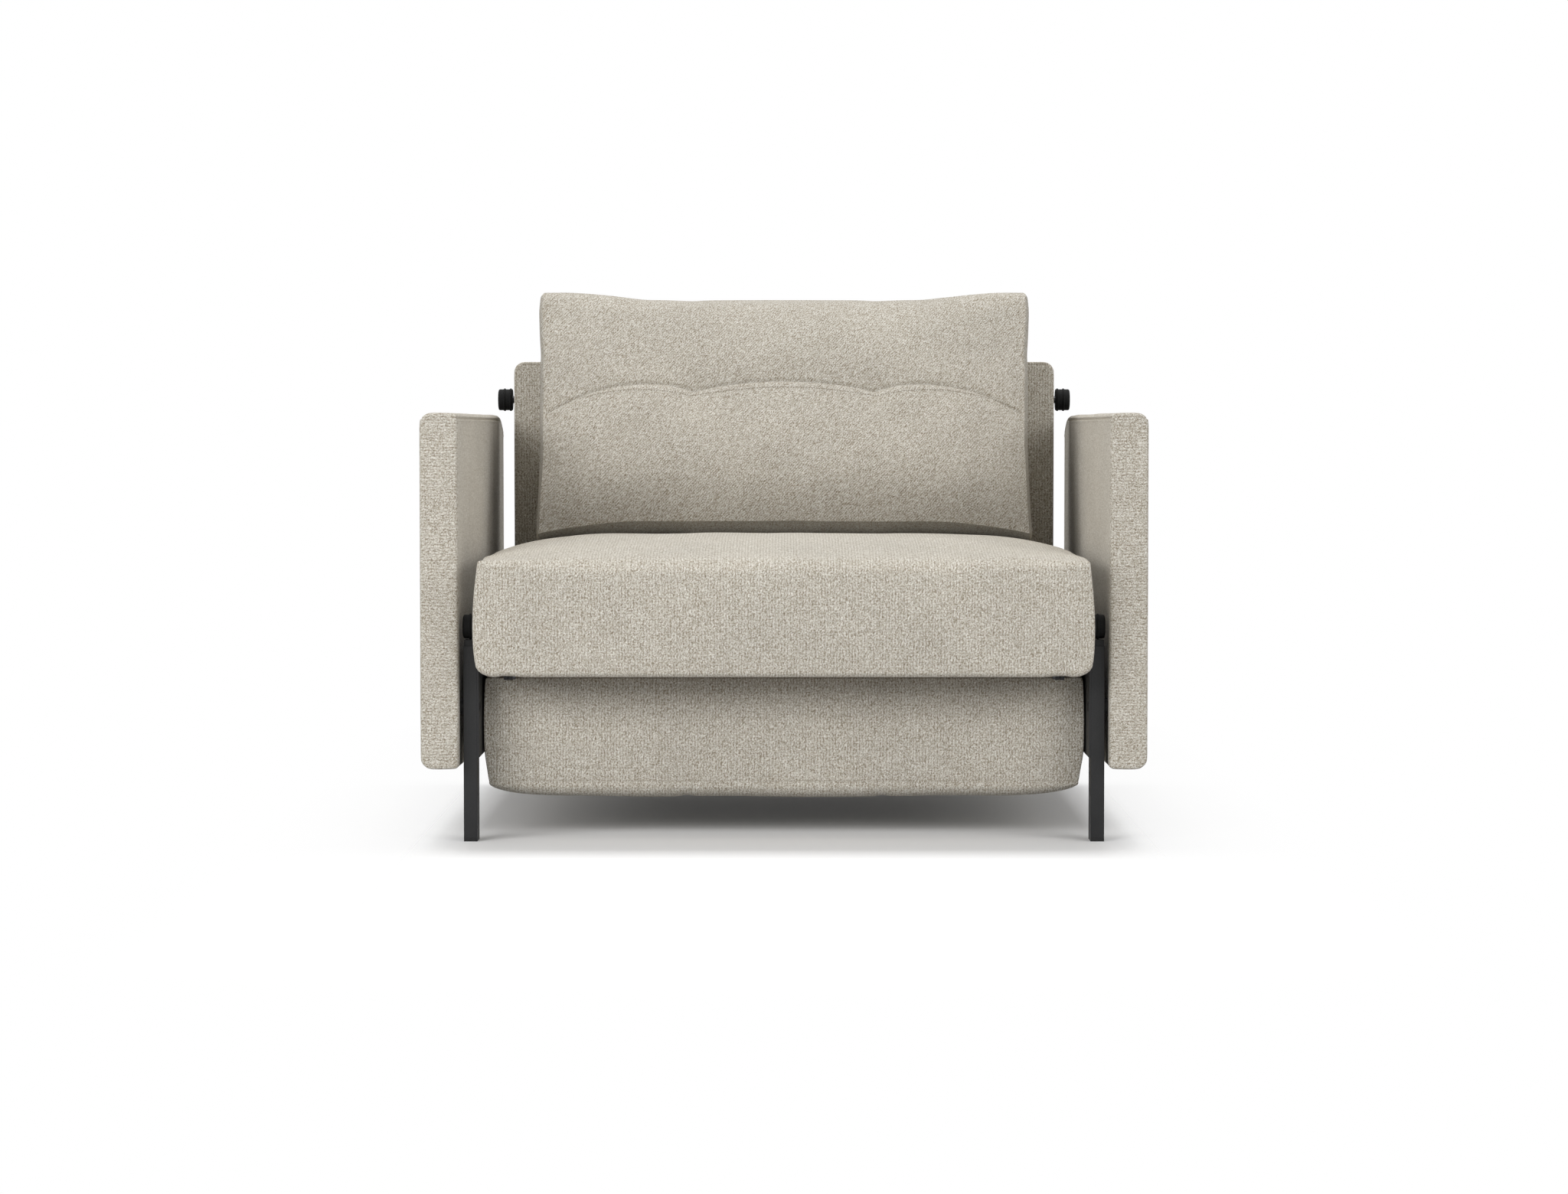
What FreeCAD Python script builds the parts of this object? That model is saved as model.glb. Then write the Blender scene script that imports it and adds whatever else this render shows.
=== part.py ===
"""A one-seat armchair whose seat pulls out, whose back drops and whose third section unfolds into a bed.

X runs across the chair, Z is up and the chair faces -Y. The origin is on the floor at the middle of the
footprint. Left and right are as seen from the front. Depths are counted back from the foremost point of
the seat, and the whole model is shifted forward by half its depth.
"""
import FreeCAD, Part
import os
import re

doc = FreeCAD.newDocument("chair_bed")
vec = FreeCAD.Vector

# Driving dimensions in millimetres
SIZES = {
    "bed_width": 900,
    # steel side frames
    "seat_side_gap": 3,
    "side_plate_thickness": 3,
    "tube_width": 20,
    "tube_depth": 40,
    "tube_wall": 2,
    "frame_height": 291,
    "foot_cap_height": 5,
    "foot_cap_plug": 18,
    "plug_play": 0.2,
    "front_leg_inset": 70,
    "rear_leg_inset": 35,
    "side_plate_height": 166,
    "side_plate_top_gap": 6,
    "rear_plate_gap": 30,
    "track_height": 9,
    "track_side_inset": 1,
    "crossbar_depth": 20,
    "crossbar_height": 30,
    "upper_crossbar_drop": 41,
    "lower_crossbar_drop": 161,
    "back_clearance": 40,
    # upholstered arms
    "arm_gap": 6,
    "arm_thickness": 56,
    "arm_front": 50,
    "arm_drop": 181,
    "arm_rise": 345,
    "arm_outer_round": 18,
    "arm_inner_round": 7,
    "arm_end_round": 5,
    "arm_crown": 3,
    "board_thickness": 20,
    "board_margin": 20,
    "board_setback": 18,
    "arm_bolt_radius": 4,
    "arm_bolt_length": 40,
    "bolt_head_radius": 6.5,
    "bolt_head_height": 4,
    "bolt_play": 0.3,
    "bolt_seat_play": 0.02,
    "spacer_radius": 12,
    "access_hole_radius": 8,
    "leg_bolt_drop": 91,
    # seat section
    "seat_depth": 722,
    "seat_drop": 41,
    "seat_block_height": 170,
    "seat_crown": 25,
    "seat_bulge": 8,
    "seat_rear_bulge": 3,
    "seat_frame_height": 92,
    "front_rail_depth": 38,
    "rear_rail_depth": 32,
    "side_rail_width": 35,
    "corner_inset": 5,
    "least_crown": 1,
    "tuft_offset": 150,
    "tuft_dip": 4,
    "slat_thickness": 8,
    "slat_width": 55,
    "cutter_margin": 3,
    "seat_slat_count": 8,
    # rollers
    "roller_radius": 17.7,
    "roller_ring_radius": 19.2,
    "roller_ring_width": 4,
    "roller_width": 24,
    "roller_cap": 2,
    "outer_ring_offset": 10.6,
    "inner_ring_offset": 20.7,
    "roller_gap": 0.3,
    "front_roller_depth": 85,
    "rear_roller_inset": 62,
    "axle_radius": 6,
    "axle_play": 0.06,
    "axle_grip": 30,
    # hinge between the seat and the back
    "pivot_rise": 86,
    "hinge_plate_gap": 0.5,
    "hinge_plate_thickness": 4,
    "hinge_plate_radius": 13,
    "hinge_plate_overlap": 122,
    "pivot_head_radius": 10,
    "pivot_head_height": 3.5,
    # back section
    "back_gap": 22,
    "back_thickness": 130,
    "back_rise": 475,
    "back_side_inset": 2,
    "back_crown": 5,
    "back_front_round": 40,
    "back_rear_round": 30,
    "back_top_round": 8,
    "back_corner_round": 18,
    "back_pad_thickness": 56,
    "back_rail_height": 48,
    "back_panel_thickness": 5,
    "back_slat_count": 4,
    "back_roller_drop": 62,
    # foot section, folded upside down under the seat
    "foot_front": 130,
    "foot_clearance": 14,
    "foot_gap": 10,
    "foot_side_inset": 1,
    "foot_crown": 18,
    "foot_bulge": 4,
    "foot_rail_depth": 35,
    "foot_slat_count": 9,
    "foot_hinge_depth": 62,
    "lug_thickness": 6,
    "lug_radius": 9,
    "lug_length": 34,
    "lug_height": 50,
    "lug_gap": 1,
    "hinge_pin_radius": 5,
    "hinge_head_radius": 8,
    "arm_strip_height": 8,
    "arm_strip_length": 168,
    "arm_tab_length": 60,
    "arm_tab_depth": 70,
    # folding support leg
    "leg_pivot_inset": 150,
    "leg_pivot_drop": 22,
    "leg_tube": 20,
    "leg_tube_wall": 1.5,
    "leg_bracket_radius": 10,
    "leg_floor_gap": 1,
    # loose back cushion
    "cushion_width": 802,
    "cushion_rise": 113,
    "cushion_depth": 215,
    "cushion_top_thickness": 44,
    "cushion_seam_rise": 45,
    "cushion_corner_drop": 17,
    "cushion_bulge": 26,
    "cushion_top_dip": 8,
    "cushion_tuft_offset": 150,
    "cushion_tuft_dip": 6,
    "cushion_rear_lean": 4,
    "cushion_top_round": 2,
    "cushion_chin": 3,
    "least_bulge": 2,
    "cushion_gusset": 36,
    "cushion_cover": 3,
    "rest_gap": 1.6,
}

# Lengths and places that follow from the driving dimensions
FORMULAS = {
    "seat_base": "frame_height - seat_drop",
    "seat_edge": "seat_base + seat_block_height",
    "back_pivot_height": "seat_base + pivot_rise",
    "back_top": "seat_base + back_rise",
    "back_roller_height": "back_top - back_roller_drop",
    "back_front": "seat_depth + back_gap",
    "back_rear": "back_front + back_thickness",
    "crossbar_front": "back_rear + back_clearance",
    "crossbar_rear": "crossbar_front + crossbar_depth",
    "rear_leg_back": "crossbar_rear + track_side_inset",
    "rear_leg_front": "rear_leg_back - tube_depth",
    "overall_depth": "rear_leg_back + rear_leg_inset",
    "half_depth": "overall_depth / 2",
    "rear_roller_depth": "seat_depth - rear_roller_inset",
    "hinge_plate_front": "seat_depth - hinge_plate_overlap",
    "foot_rear": "crossbar_front - foot_clearance",
    "leg_pivot_depth": "foot_rear - leg_pivot_inset",
    "side_plate_base": "frame_height - side_plate_height",
    "upper_crossbar_base": "frame_height - upper_crossbar_drop",
    "lower_crossbar_base": "frame_height - lower_crossbar_drop",
    "leg_bolt_height": "frame_height - leg_bolt_drop",
    "arm_base": "frame_height - arm_drop",
    "arm_top": "frame_height + arm_rise",
    "cushion_top": "back_top + cushion_rise",
    "cushion_front": "back_front - cushion_depth",
    "cushion_top_depth": "back_front - cushion_top_thickness",
    "cushion_seam": "seat_edge + cushion_seam_rise",
    "plate_inner": "bed_width / 2 + seat_side_gap",
    "tube_inner": "plate_inner + side_plate_thickness",
    "tube_outer": "tube_inner + tube_width",
    "arm_inner": "tube_outer + arm_gap",
    "arm_outer": "arm_inner + arm_thickness",
    "board_inner": "arm_inner + board_setback",
    "top_rail_base": "frame_height - tube_depth",
    "track_top": "frame_height + track_height",
    "roller_level": "track_top + roller_gap + roller_ring_radius",
    "seat_frame_top": "seat_base + seat_frame_height",
    "rail_inner": "bed_width / 2 - side_rail_width",
    "seat_rear_rail": "seat_depth - rear_rail_depth",
    "front_roller_inner": "plate_inner",
    "rear_roller_inner": "plate_inner + hinge_plate_thickness",
    "hinge_plate_inner": "bed_width / 2 + hinge_plate_gap",
    "hinge_plate_outer": "hinge_plate_inner + hinge_plate_thickness",
    "pivot_inset": "seat_edge - back_pivot_height",
    "pivot_depth": "back_front + pivot_inset",
    "back_base": "back_pivot_height - pivot_inset",
    "back_half": "bed_width / 2 - back_side_inset",
    "back_frame_front": "back_front + back_pad_thickness",
    "back_roller_depth": "pivot_depth + back_pivot_height - roller_level",
    "foot_half": "bed_width / 2 - foot_side_inset",
    "foot_top": "seat_base - foot_gap",
    "foot_edge": "2 * seat_base - seat_edge",
    "foot_frame_base": "2 * seat_base - seat_frame_top",
    "foot_rail_inner": "foot_half - side_rail_width",
    "lug_outer": "rail_inner",
    "lug_inner": "rail_inner - lug_thickness",
    "foot_arm_outer": "lug_inner - lug_gap",
    "foot_arm_inner": "foot_arm_outer - lug_thickness",
    "leg_pivot_level": "foot_top - leg_pivot_drop",
    "bracket_inner": "foot_rail_inner - lug_thickness",
    "leg_outer": "bracket_inner - lug_gap",
    "leg_inner": "leg_outer - leg_tube",
    "leg_length": "2 * seat_base - leg_pivot_level - leg_floor_gap",
    "leg_tip": "leg_pivot_depth - leg_length",
}

sheet = doc.addObject("Spreadsheet::Sheet", "Sizes")
for row, (alias, number) in enumerate(SIZES.items(), 1):
    sheet.set(f"A{row}", alias)
    sheet.set(f"B{row}", str(number))
    sheet.setAlias(f"B{row}", alias)
doc.recompute()

derived = doc.addObject("App::FeaturePython", "Derived")
WORD = re.compile(r"[a-z][a-z_]*[a-z]")


def owner(match):
    """The name of a size with the object that holds it."""
    word = match.group(0)
    if word in SIZES:
        return f"Sizes.{word}"
    return f"Derived.{word}" if word in FORMULAS else word


def bind(thing, prop, formula):
    """Tie one property of a thing to a formula in named sizes."""
    thing.setExpression(prop, WORD.sub(owner, formula))


for word, formula in FORMULAS.items():
    derived.addProperty("App::PropertyFloat", word)
    bind(derived, word, formula)
doc.recompute()


def mm(word):
    """The present value of a named size."""
    return float(getattr(sheet if word in SIZES else derived, word))


def place(thing, low_x, depth, low_z):
    """Put a thing at formulas for X, the depth behind the seat's front, and Z."""
    bind(thing, "Placement.Base.x", low_x)
    bind(thing, "Placement.Base.y", f"({depth}) - half_depth")
    bind(thing, "Placement.Base.z", low_z)


def box(name, across, depth, height):
    """A block between two formulas on each axis."""
    made = doc.addObject("Part::Box", name)
    made.Label = name
    for prop, (low, high) in zip(("Length", "Width", "Height"), (across, depth, height)):
        bind(made, prop, f"({high}) - ({low})")
    place(made, across[0], depth[0], height[0])
    return made


def rod(name, radius, across, depth, height):
    """A round bar along X."""
    made = doc.addObject("Part::Cylinder", name)
    made.Label = name
    bind(made, "Radius", radius)
    bind(made, "Height", f"({across[1]}) - ({across[0]})")
    made.Placement = FreeCAD.Placement(vec(), FreeCAD.Rotation(vec(0, 1, 0), 90))
    place(made, across[0], depth, height)
    return made


def group(name, pieces):
    """Separate solids kept under one name."""
    made = doc.addObject("Part::Compound", name)
    made.Label = name
    made.Links = pieces
    return made


def join(name, pieces):
    """Overlapping solids made one."""
    made = doc.addObject("Part::MultiFuse", name)
    made.Label = name
    made.Shapes = pieces
    made.Refine = True
    return made


def cut(name, base, tools):
    """A solid with one or more tools taken out of it."""
    made = doc.addObject("Part::Cut", name)
    made.Label = name
    made.Base = base
    made.Tool = tools[0] if len(tools) == 1 else group(f"{name} tools", tools)
    return made


def common(name, base, tool):
    """The part of a solid that lies inside a tool."""
    made = doc.addObject("Part::Common", name)
    made.Label = name
    made.Base = base
    made.Tool = tool
    return made


def solid(name, shape):
    """A free-form solid as an object of the document."""
    made = doc.addObject("Part::Feature", name)
    made.Label = name
    made.Shape = shape
    made.Placement = FreeCAD.Placement(vec(0, -mm("half_depth"), 0), FreeCAD.Rotation())
    return made


def span(side, inner, outer):
    """A stretch of X on the left (-1) or right (1) half."""
    return (inner, outer) if side > 0 else (f"-({outer})", f"-({inner})")


def both(inner_or_outer):
    """A stretch of X that reaches as far on the left as on the right."""
    return (f"-({inner_or_outer})", inner_or_outer)


SIDES = (("left", -1), ("right", 1))
nodes = []


def keep(*made):
    """Add finished sub-parts to the chair."""
    nodes.extend(made)


def tube(name, across, depth, height, along):
    """A rectangular steel tube, open at the ends along one axis."""
    outer = box(f"{name} outside", across, depth, height)
    bores = []
    for axis, (low, high) in enumerate((across, depth, height)):
        if axis == along:
            bores.append((f"({low}) - tube_wall", f"({high}) + tube_wall"))
        else:
            bores.append((f"({low}) + tube_wall", f"({high}) - tube_wall"))
    return cut(name, outer, [box(f"{name} bore", *bores)])


ARM_BOLTS = (
    ("front", "front_leg_inset + tube_depth / 2", "leg_bolt_height"),
    ("middle", "half_depth", "frame_height - tube_depth / 2"),
    ("rear", "rear_leg_front + tube_depth / 2", "leg_bolt_height"),
)


def bolt_tools(name, side, depth, height):
    """The access hole inside and the bolt hole outside for one arm bolt."""
    inner = span(side, "plate_inner - tube_wall", "tube_inner + 2 * tube_wall")
    outer = span(side, "tube_outer - 2 * tube_wall", "tube_outer + tube_wall")
    access = rod(f"{name} access", "access_hole_radius", inner, depth, height)
    passage = rod(f"{name} passage", "arm_bolt_radius + bolt_play", outer, depth, height)
    return [access, passage]


def side_frame(label, side):
    """Two legs, the rail between them, the roller track on top and the plate inside."""
    across = span(side, "tube_inner", "tube_outer")
    bolts = {where: (depth, height) for where, depth, height in ARM_BOLTS}
    legs = (
        ("front", "front_leg_inset", "front_leg_inset + tube_depth"),
        ("rear", "rear_leg_front", "rear_leg_back"),
    )
    for where, low, high in legs:
        blank = tube(f"{label} {where} leg tube", across, (low, high), ("foot_cap_height", "frame_height"), 2)
        tools = bolt_tools(f"{label} {where} leg", side, *bolts[where])
        keep(cut(f"{label}_{where}_leg", blank, tools))
    run = ("front_leg_inset + tube_depth", "rear_leg_front")
    rail = tube(f"{label} rail tube", across, run, ("top_rail_base", "frame_height"), 1)
    keep(cut(f"{label}_top_rail", rail, bolt_tools(f"{label} rail", side, *bolts["middle"])))

    strip = span(side, "tube_inner + track_side_inset", "tube_outer - track_side_inset")
    reach = ("front_leg_inset + track_side_inset", "rear_leg_back - track_side_inset")
    keep(box(f"{label}_roller_track", strip, reach, ("frame_height", "track_top")))

    sheet_metal = box(
        f"{label} plate blank",
        span(side, "plate_inner", "tube_inner"),
        ("front_leg_inset", "rear_leg_back - rear_plate_gap"),
        ("side_plate_base", "frame_height - side_plate_top_gap"),
    )
    access = [bolt_tools(f"{label} plate {where}", side, *bolts[where])[0] for where in ("front", "middle")]
    keep(cut(f"{label}_side_plate", sheet_metal, access))


def foot_cap(label, side, where, low):
    """A plastic cap pushed into the bottom of a leg."""
    inset = "(tube_wall + plug_play)"
    sole = box(
        f"{label} {where} sole",
        span(side, "tube_inner", "tube_outer"),
        (low, f"{low} + tube_depth"),
        ("0", "foot_cap_height"),
    )
    plug = box(
        f"{label} {where} plug",
        span(side, f"tube_inner + {inset}", f"tube_outer - {inset}"),
        (f"{low} + {inset}", f"{low} + tube_depth - {inset}"),
        ("foot_cap_height / 2", "foot_cap_height + foot_cap_plug"),
    )
    return join(f"{label} {where} foot cap", [sole, plug])


def frame():
    """The fixed steel frame with its feet and the bars that tie the sides at the back."""
    for label, side in SIDES:
        side_frame(label, side)
    run = ("crossbar_front", "crossbar_rear")
    bars = []
    for where, low in (("upper", "upper_crossbar_base"), ("lower", "lower_crossbar_base")):
        height = (low, f"{low} + crossbar_height")
        bars.append(tube(f"{where} crossbar", both("tube_inner"), run, height, 0))
    keep(group("rear_crossbars", bars))
    caps = []
    for label, side in SIDES:
        for where, low in (("front", "front_leg_inset"), ("rear", "rear_leg_front")):
            caps.append(foot_cap(label, side, where, low))
    keep(group("foot_caps", caps))


ARC_INSET = 1 - 0.5 ** 0.5


def closed_wire(edges):
    return Part.Wire([edge.toShape() for edge in edges])


def rounded_panel(side):
    """The arm's upholstered block: bowed faces, soft long edges and softly rounded ends."""
    low, high = mm("arm_base"), mm("arm_top")
    inner, outer = mm("arm_inner"), mm("arm_outer")
    crown, ring, small = mm("arm_crown"), mm("arm_outer_round"), mm("arm_inner_round")
    front, back = mm("arm_front"), mm("overall_depth")
    middle = (low + high) / 2
    rise = ring * ARC_INSET
    dip = small * ARC_INSET

    def at(x, z):
        return vec(side * x, front, z)

    left, right = inner + crown, outer - crown
    edges = [
        Part.Arc(at(left, low + small), at(inner, middle), at(left, high - small)),
        Part.Arc(at(left, high - small), at(left + dip, high - dip), at(left + small, high)),
        Part.LineSegment(at(left + small, high), at(right - ring, high)),
        Part.Arc(at(right - ring, high), at(right - rise, high - rise), at(right, high - ring)),
        Part.Arc(at(right, high - ring), at(outer, middle), at(right, low + ring)),
        Part.Arc(at(right, low + ring), at(right - rise, low + rise), at(right - ring, low)),
        Part.LineSegment(at(right - ring, low), at(left + small, low)),
        Part.Arc(at(left + small, low), at(left + dip, low + dip), at(left, low + small)),
    ]
    block = Part.Face(closed_wire(edges)).extrude(vec(0, back - front, 0))
    rims = [edge for edge in block.Edges if min(abs(edge.BoundBox.YMin - end) + edge.BoundBox.YLength
                                                for end in (front, back)) < 0.001]
    return block.makeFillet(mm("arm_end_round"), rims)


def arm(label, side):
    """One arm: a board inside an upholstered block, bolted to the side frame through spacers."""
    board_span = span(side, "board_inner", "board_inner + board_thickness")
    board_depth = ("arm_front + board_margin", "overall_depth - board_margin")
    board_height = ("arm_base + board_margin", "arm_top - board_margin")
    blank = box(f"{label} board blank", board_span, board_depth, board_height)
    sockets, wells, spacers, bolts = [], [], [], []
    for where, depth, height in ARM_BOLTS:
        name = f"{label} {where}"
        tip = "tube_outer - tube_wall + arm_bolt_length"
        shank = span(side, "tube_outer - tube_wall - bolt_head_height / 2", tip)
        head = span(side, "tube_outer - tube_wall - bolt_head_height", "tube_outer - tube_wall")
        well = span(side, "arm_inner - tube_wall", "board_inner + tube_wall")
        gap = span(side, "tube_outer", "board_inner")
        through = span(side, "tube_outer - tube_wall", "board_inner + tube_wall")
        socket = span(side, "board_inner - tube_wall", f"{tip} + tube_wall")
        sockets.append(rod(f"{name} socket", "arm_bolt_radius + bolt_seat_play", socket, depth, height))
        wells.append(rod(f"{name} well", "spacer_radius + bolt_play", well, depth, height))
        sleeve = rod(f"{name} sleeve", "spacer_radius", gap, depth, height)
        bore = rod(f"{name} sleeve bore", "arm_bolt_radius + bolt_play", through, depth, height)
        spacers.append(cut(f"{name} spacer", sleeve, [bore]))
        bolts.append(join(f"{name} bolt", [
            rod(f"{name} shank", "arm_bolt_radius", shank, depth, height),
            rod(f"{name} head", "bolt_head_radius", head, depth, height),
        ]))
    keep(cut(f"{label}_arm_board", blank, sockets))
    padding = solid(f"{label} arm block", rounded_panel(side))
    hollow = box(f"{label} board space", board_span, board_depth, board_height)
    keep(cut(f"{label}_arm_pad", padding, [hollow] + wells))
    return spacers, bolts


def arms():
    spacers, bolts = [], []
    for label, side in SIDES:
        more_spacers, more_bolts = arm(label, side)
        spacers += more_spacers
        bolts += more_bolts
    keep(group("arm_spacers", spacers), group("arm_bolts", bolts))


CROWN_POWER = 5
CORNER_POWER = 20
TUFT_SPREAD = 0.4
OUTER_STATIONS = (0.66, 0.86, 0.965, 1)
FACE_LIFT = 0.4


def crown_share(x, half):
    """How much of the crown a mattress keeps this far from its middle."""
    return 1 - abs(x / half) ** CROWN_POWER


def stations(half, tuft):
    """The places across a soft block where its outline is drawn."""
    beside = tuft * TUFT_SPREAD
    right = [tuft - beside, tuft, tuft + beside] + [share * half for share in OUTER_STATIONS]
    return [-x for x in reversed(right)] + [0] + right


def mattress(half, front, rear, flat, edge, crown, front_bulge, rear_bulge):
    """A block with one flat face and one crowned, bowed ends and drawn-in corners."""
    tuft = mm("tuft_offset")
    up = 1 if edge > flat else -1
    wires = []
    for x in stations(half, tuft):
        inset = mm("corner_inset") * abs(x / half) ** CORNER_POWER
        dip = mm("tuft_dip") if abs(x) == tuft else 0
        low, high = front + front_bulge + inset, rear - rear_bulge - inset
        rim = edge - up * inset
        peak = rim + up * (mm("least_crown") + crown * crown_share(x, half) - dip)
        tips = vec(x, low, flat), vec(x, high, flat), vec(x, high, rim), vec(x, low, rim)
        wires.append(closed_wire([
            Part.LineSegment(tips[0], tips[1]),
            Part.Arc(tips[1], vec(x, rear - inset, (flat + rim) / 2), tips[2]),
            Part.Arc(tips[2], vec(x, (low + high) / 2, peak), tips[3]),
            Part.Arc(tips[3], vec(x, front + inset, (flat + rim) / 2), tips[0]),
        ]))
    return Part.makeLoft(wires, True, False)


def slats(name, inner, depth, height, count):
    """Cross slats between two side rails, evenly spaced."""
    low, high = depth
    made = []
    for number in range(count):
        centre = f"({low}) + (({high}) - ({low})) * {number + 0.5} / {count}"
        run = (f"{centre} - slat_width / 2", f"{centre} + slat_width / 2")
        made.append(box(f"{name} {number + 1}", both(inner), run, height))
    return group(name, made)


def box_rails(prefix, names, body, half, inner, depth, rails, height):
    """The four rails of an upholstered box, cut out of the block's own outline."""
    low, high = depth
    first, last = rails
    margin = "cutter_margin"
    wide = both(f"{half} + {margin}")
    rows = [
        (names[0], wide, (f"{low} - {margin}", first)),
        (names[1], wide, (last, f"{high} + {margin}")),
    ]
    for label, side in SIDES:
        rows.append((f"{label}_{prefix}_rail", span(side, inner, f"{half} + {margin}"), (first, last)))
    made = {}
    for name, across, run in rows:
        made[name] = common(name, body, box(f"{name} cutter", across, run, height))
    return made


def roller(name, side, inner, depth, height):
    """A plastic wheel with two rubber ridges and a blind bore."""
    outer = f"{inner} + roller_width"
    pieces = [rod(f"{name} barrel", "roller_radius", span(side, inner, outer), depth, height)]
    for ridge in ("outer_ring_offset", "inner_ring_offset"):
        middle = f"{outer} - {ridge}"
        reach = span(side, f"{middle} - roller_ring_width / 2", f"{middle} + roller_ring_width / 2")
        pieces.append(rod(f"{name} {ridge}", "roller_ring_radius", reach, depth, height))
    bore = span(side, f"{inner} - roller_cap", f"{outer} - roller_cap")
    hole = rod(f"{name} bore", "axle_radius + axle_play", bore, depth, height)
    return cut(name, join(f"{name} tyre", pieces), [hole])


def axle(name, side, root, inner, depth, height):
    """The pin that a roller turns on, held in a rail."""
    reach = span(side, f"{root} - axle_grip", f"{inner} + roller_width - 2 * roller_cap")
    return rod(name, "axle_radius", reach, depth, height)


def axle_hole(name, side, root, depth, height):
    reach = span(side, f"{root} - axle_grip", f"{root} + axle_grip")
    return rod(name, "axle_radius + bolt_seat_play", reach, depth, height)


def hinge_plate(label, side):
    """The long plate that carries the back behind the seat."""
    ends = (
        (mm("hinge_plate_front"), mm("roller_level")),
        (mm("pivot_depth"), mm("back_pivot_height")),
    )
    radius = mm("hinge_plate_radius")
    start, stop = (vec(0, *end) for end in ends)
    along = (stop - start).normalize()
    across = vec(0, -along.z, along.y)
    edges = [
        Part.LineSegment(start + across * radius, stop + across * radius),
        Part.Arc(stop + across * radius, stop + along * radius, stop - across * radius),
        Part.LineSegment(stop - across * radius, start - across * radius),
        Part.Arc(start - across * radius, start - along * radius, start + across * radius),
    ]
    blank = Part.Face(closed_wire(edges)).extrude(vec(mm("hinge_plate_thickness"), 0, 0))
    low = mm("hinge_plate_inner") if side > 0 else -mm("hinge_plate_outer")
    plate = solid(f"{label} hinge plate blank", blank)
    plate.Placement.Base.x = low
    reach = span(side, "hinge_plate_inner - tube_wall", "hinge_plate_outer + tube_wall")
    rows = (
        ("screw", "arm_bolt_radius + bolt_seat_play", "hinge_plate_front", "roller_level"),
        ("axle", "axle_radius + bolt_seat_play", "rear_roller_depth", "roller_level"),
        ("pivot", "axle_radius + axle_play", "pivot_depth", "back_pivot_height"),
    )
    holes = [rod(f"{label} plate {what}", bore, reach, depth, height) for what, bore, depth, height in rows]
    return cut(f"{label}_hinge_plate", plate, holes)


def plate_screw(label, side):
    """The screw that holds a hinge plate to the seat's side rail."""
    shank = span(side, "bed_width / 2 - axle_grip", "hinge_plate_outer + bolt_head_height / 2")
    head = span(side, "hinge_plate_outer", "hinge_plate_outer + bolt_head_height")
    return join(f"{label} plate screw solid", [
        rod(f"{label} screw shank", "arm_bolt_radius", shank, "hinge_plate_front", "roller_level"),
        rod(f"{label} screw head", "bolt_head_radius", head, "hinge_plate_front", "roller_level"),
    ])


def hinge_lug(label, side):
    """The lug inside the seat's front corner that the foot section hangs from."""
    across = span(side, "lug_inner", "lug_outer")
    eye = rod(f"{label} lug eye", "lug_radius", across, "foot_hinge_depth", "seat_base")
    stem = box(
        f"{label} lug stem",
        across,
        ("foot_hinge_depth - lug_radius", "foot_hinge_depth + lug_length"),
        ("seat_base", "seat_base + lug_height"),
    )
    bore = span(side, "lug_inner - tube_wall", "lug_outer + tube_wall")
    hole = rod(f"{label} lug bore", "hinge_pin_radius + axle_play", bore, "foot_hinge_depth", "seat_base")
    return cut(f"{label} hinge lug", join(f"{label} lug blank", [eye, stem]), [hole])


def seat():
    """The seat section: box frame, slats, mattress, axles and the plates that carry the back."""
    lower = mm("seat_base") - mm("cutter_margin")
    whole = solid("seat block", mattress(
        mm("bed_width") / 2, 0, mm("seat_depth"), lower, mm("seat_edge"), mm("seat_crown"),
        mm("seat_bulge"), mm("seat_rear_bulge"),
    ))
    above = box(
        "seat mattress cutter",
        both("bed_width"),
        ("-seat_bulge", "seat_depth + seat_bulge"),
        ("seat_frame_top", "seat_edge + 2 * seat_crown"),
    )
    keep(common("seat_mattress", whole, above))
    level = ("seat_base", "seat_frame_top")
    names = ("seat_front_rail", "seat_rear_rail")
    rails = box_rails(
        "seat", names, whole, "bed_width / 2", "rail_inner", ("0", "seat_depth"),
        ("front_rail_depth", "seat_rear_rail"), level,
    )
    keep(rails["seat_front_rail"], rails["seat_rear_rail"])
    axles, lugs, screws = [], [], []
    for label, side in SIDES:
        blank = rails[f"{label}_seat_rail"]
        blank.Label = f"{label} seat rail blank"
        face, level_of = "bed_width / 2", "roller_level"
        screw = span(side, f"{face} - axle_grip", f"{face} + axle_grip")
        bore = "arm_bolt_radius + bolt_seat_play"
        holes = [
            axle_hole(f"{label} front axle hole", side, face, "front_roller_depth", level_of),
            axle_hole(f"{label} rear axle hole", side, face, "rear_roller_depth", level_of),
            rod(f"{label} screw hole", bore, screw, "hinge_plate_front", level_of),
        ]
        keep(cut(f"{label}_seat_rail", blank, holes))
        for where in ("front", "rear"):
            inner, depth = f"{where}_roller_inner", f"{where}_roller_depth"
            axles.append(axle(f"{label} {where} axle", side, "bed_width / 2", inner, depth, "roller_level"))
            keep(roller(f"{where}_{label}_roller", side, inner, depth, "roller_level"))
        keep(hinge_plate(label, side))
        screws.append(plate_screw(label, side))
        lugs.append(hinge_lug(label, side))
    keep(slats(
        "seat_slats", "rail_inner", ("front_rail_depth", "seat_rear_rail"),
        ("seat_frame_top - slat_thickness", "seat_frame_top"), int(mm("seat_slat_count")),
    ))
    keep(group("seat_roller_axles", axles), group("foot_hinge_lugs", lugs))
    keep(group("hinge_plate_screws", screws))


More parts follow.
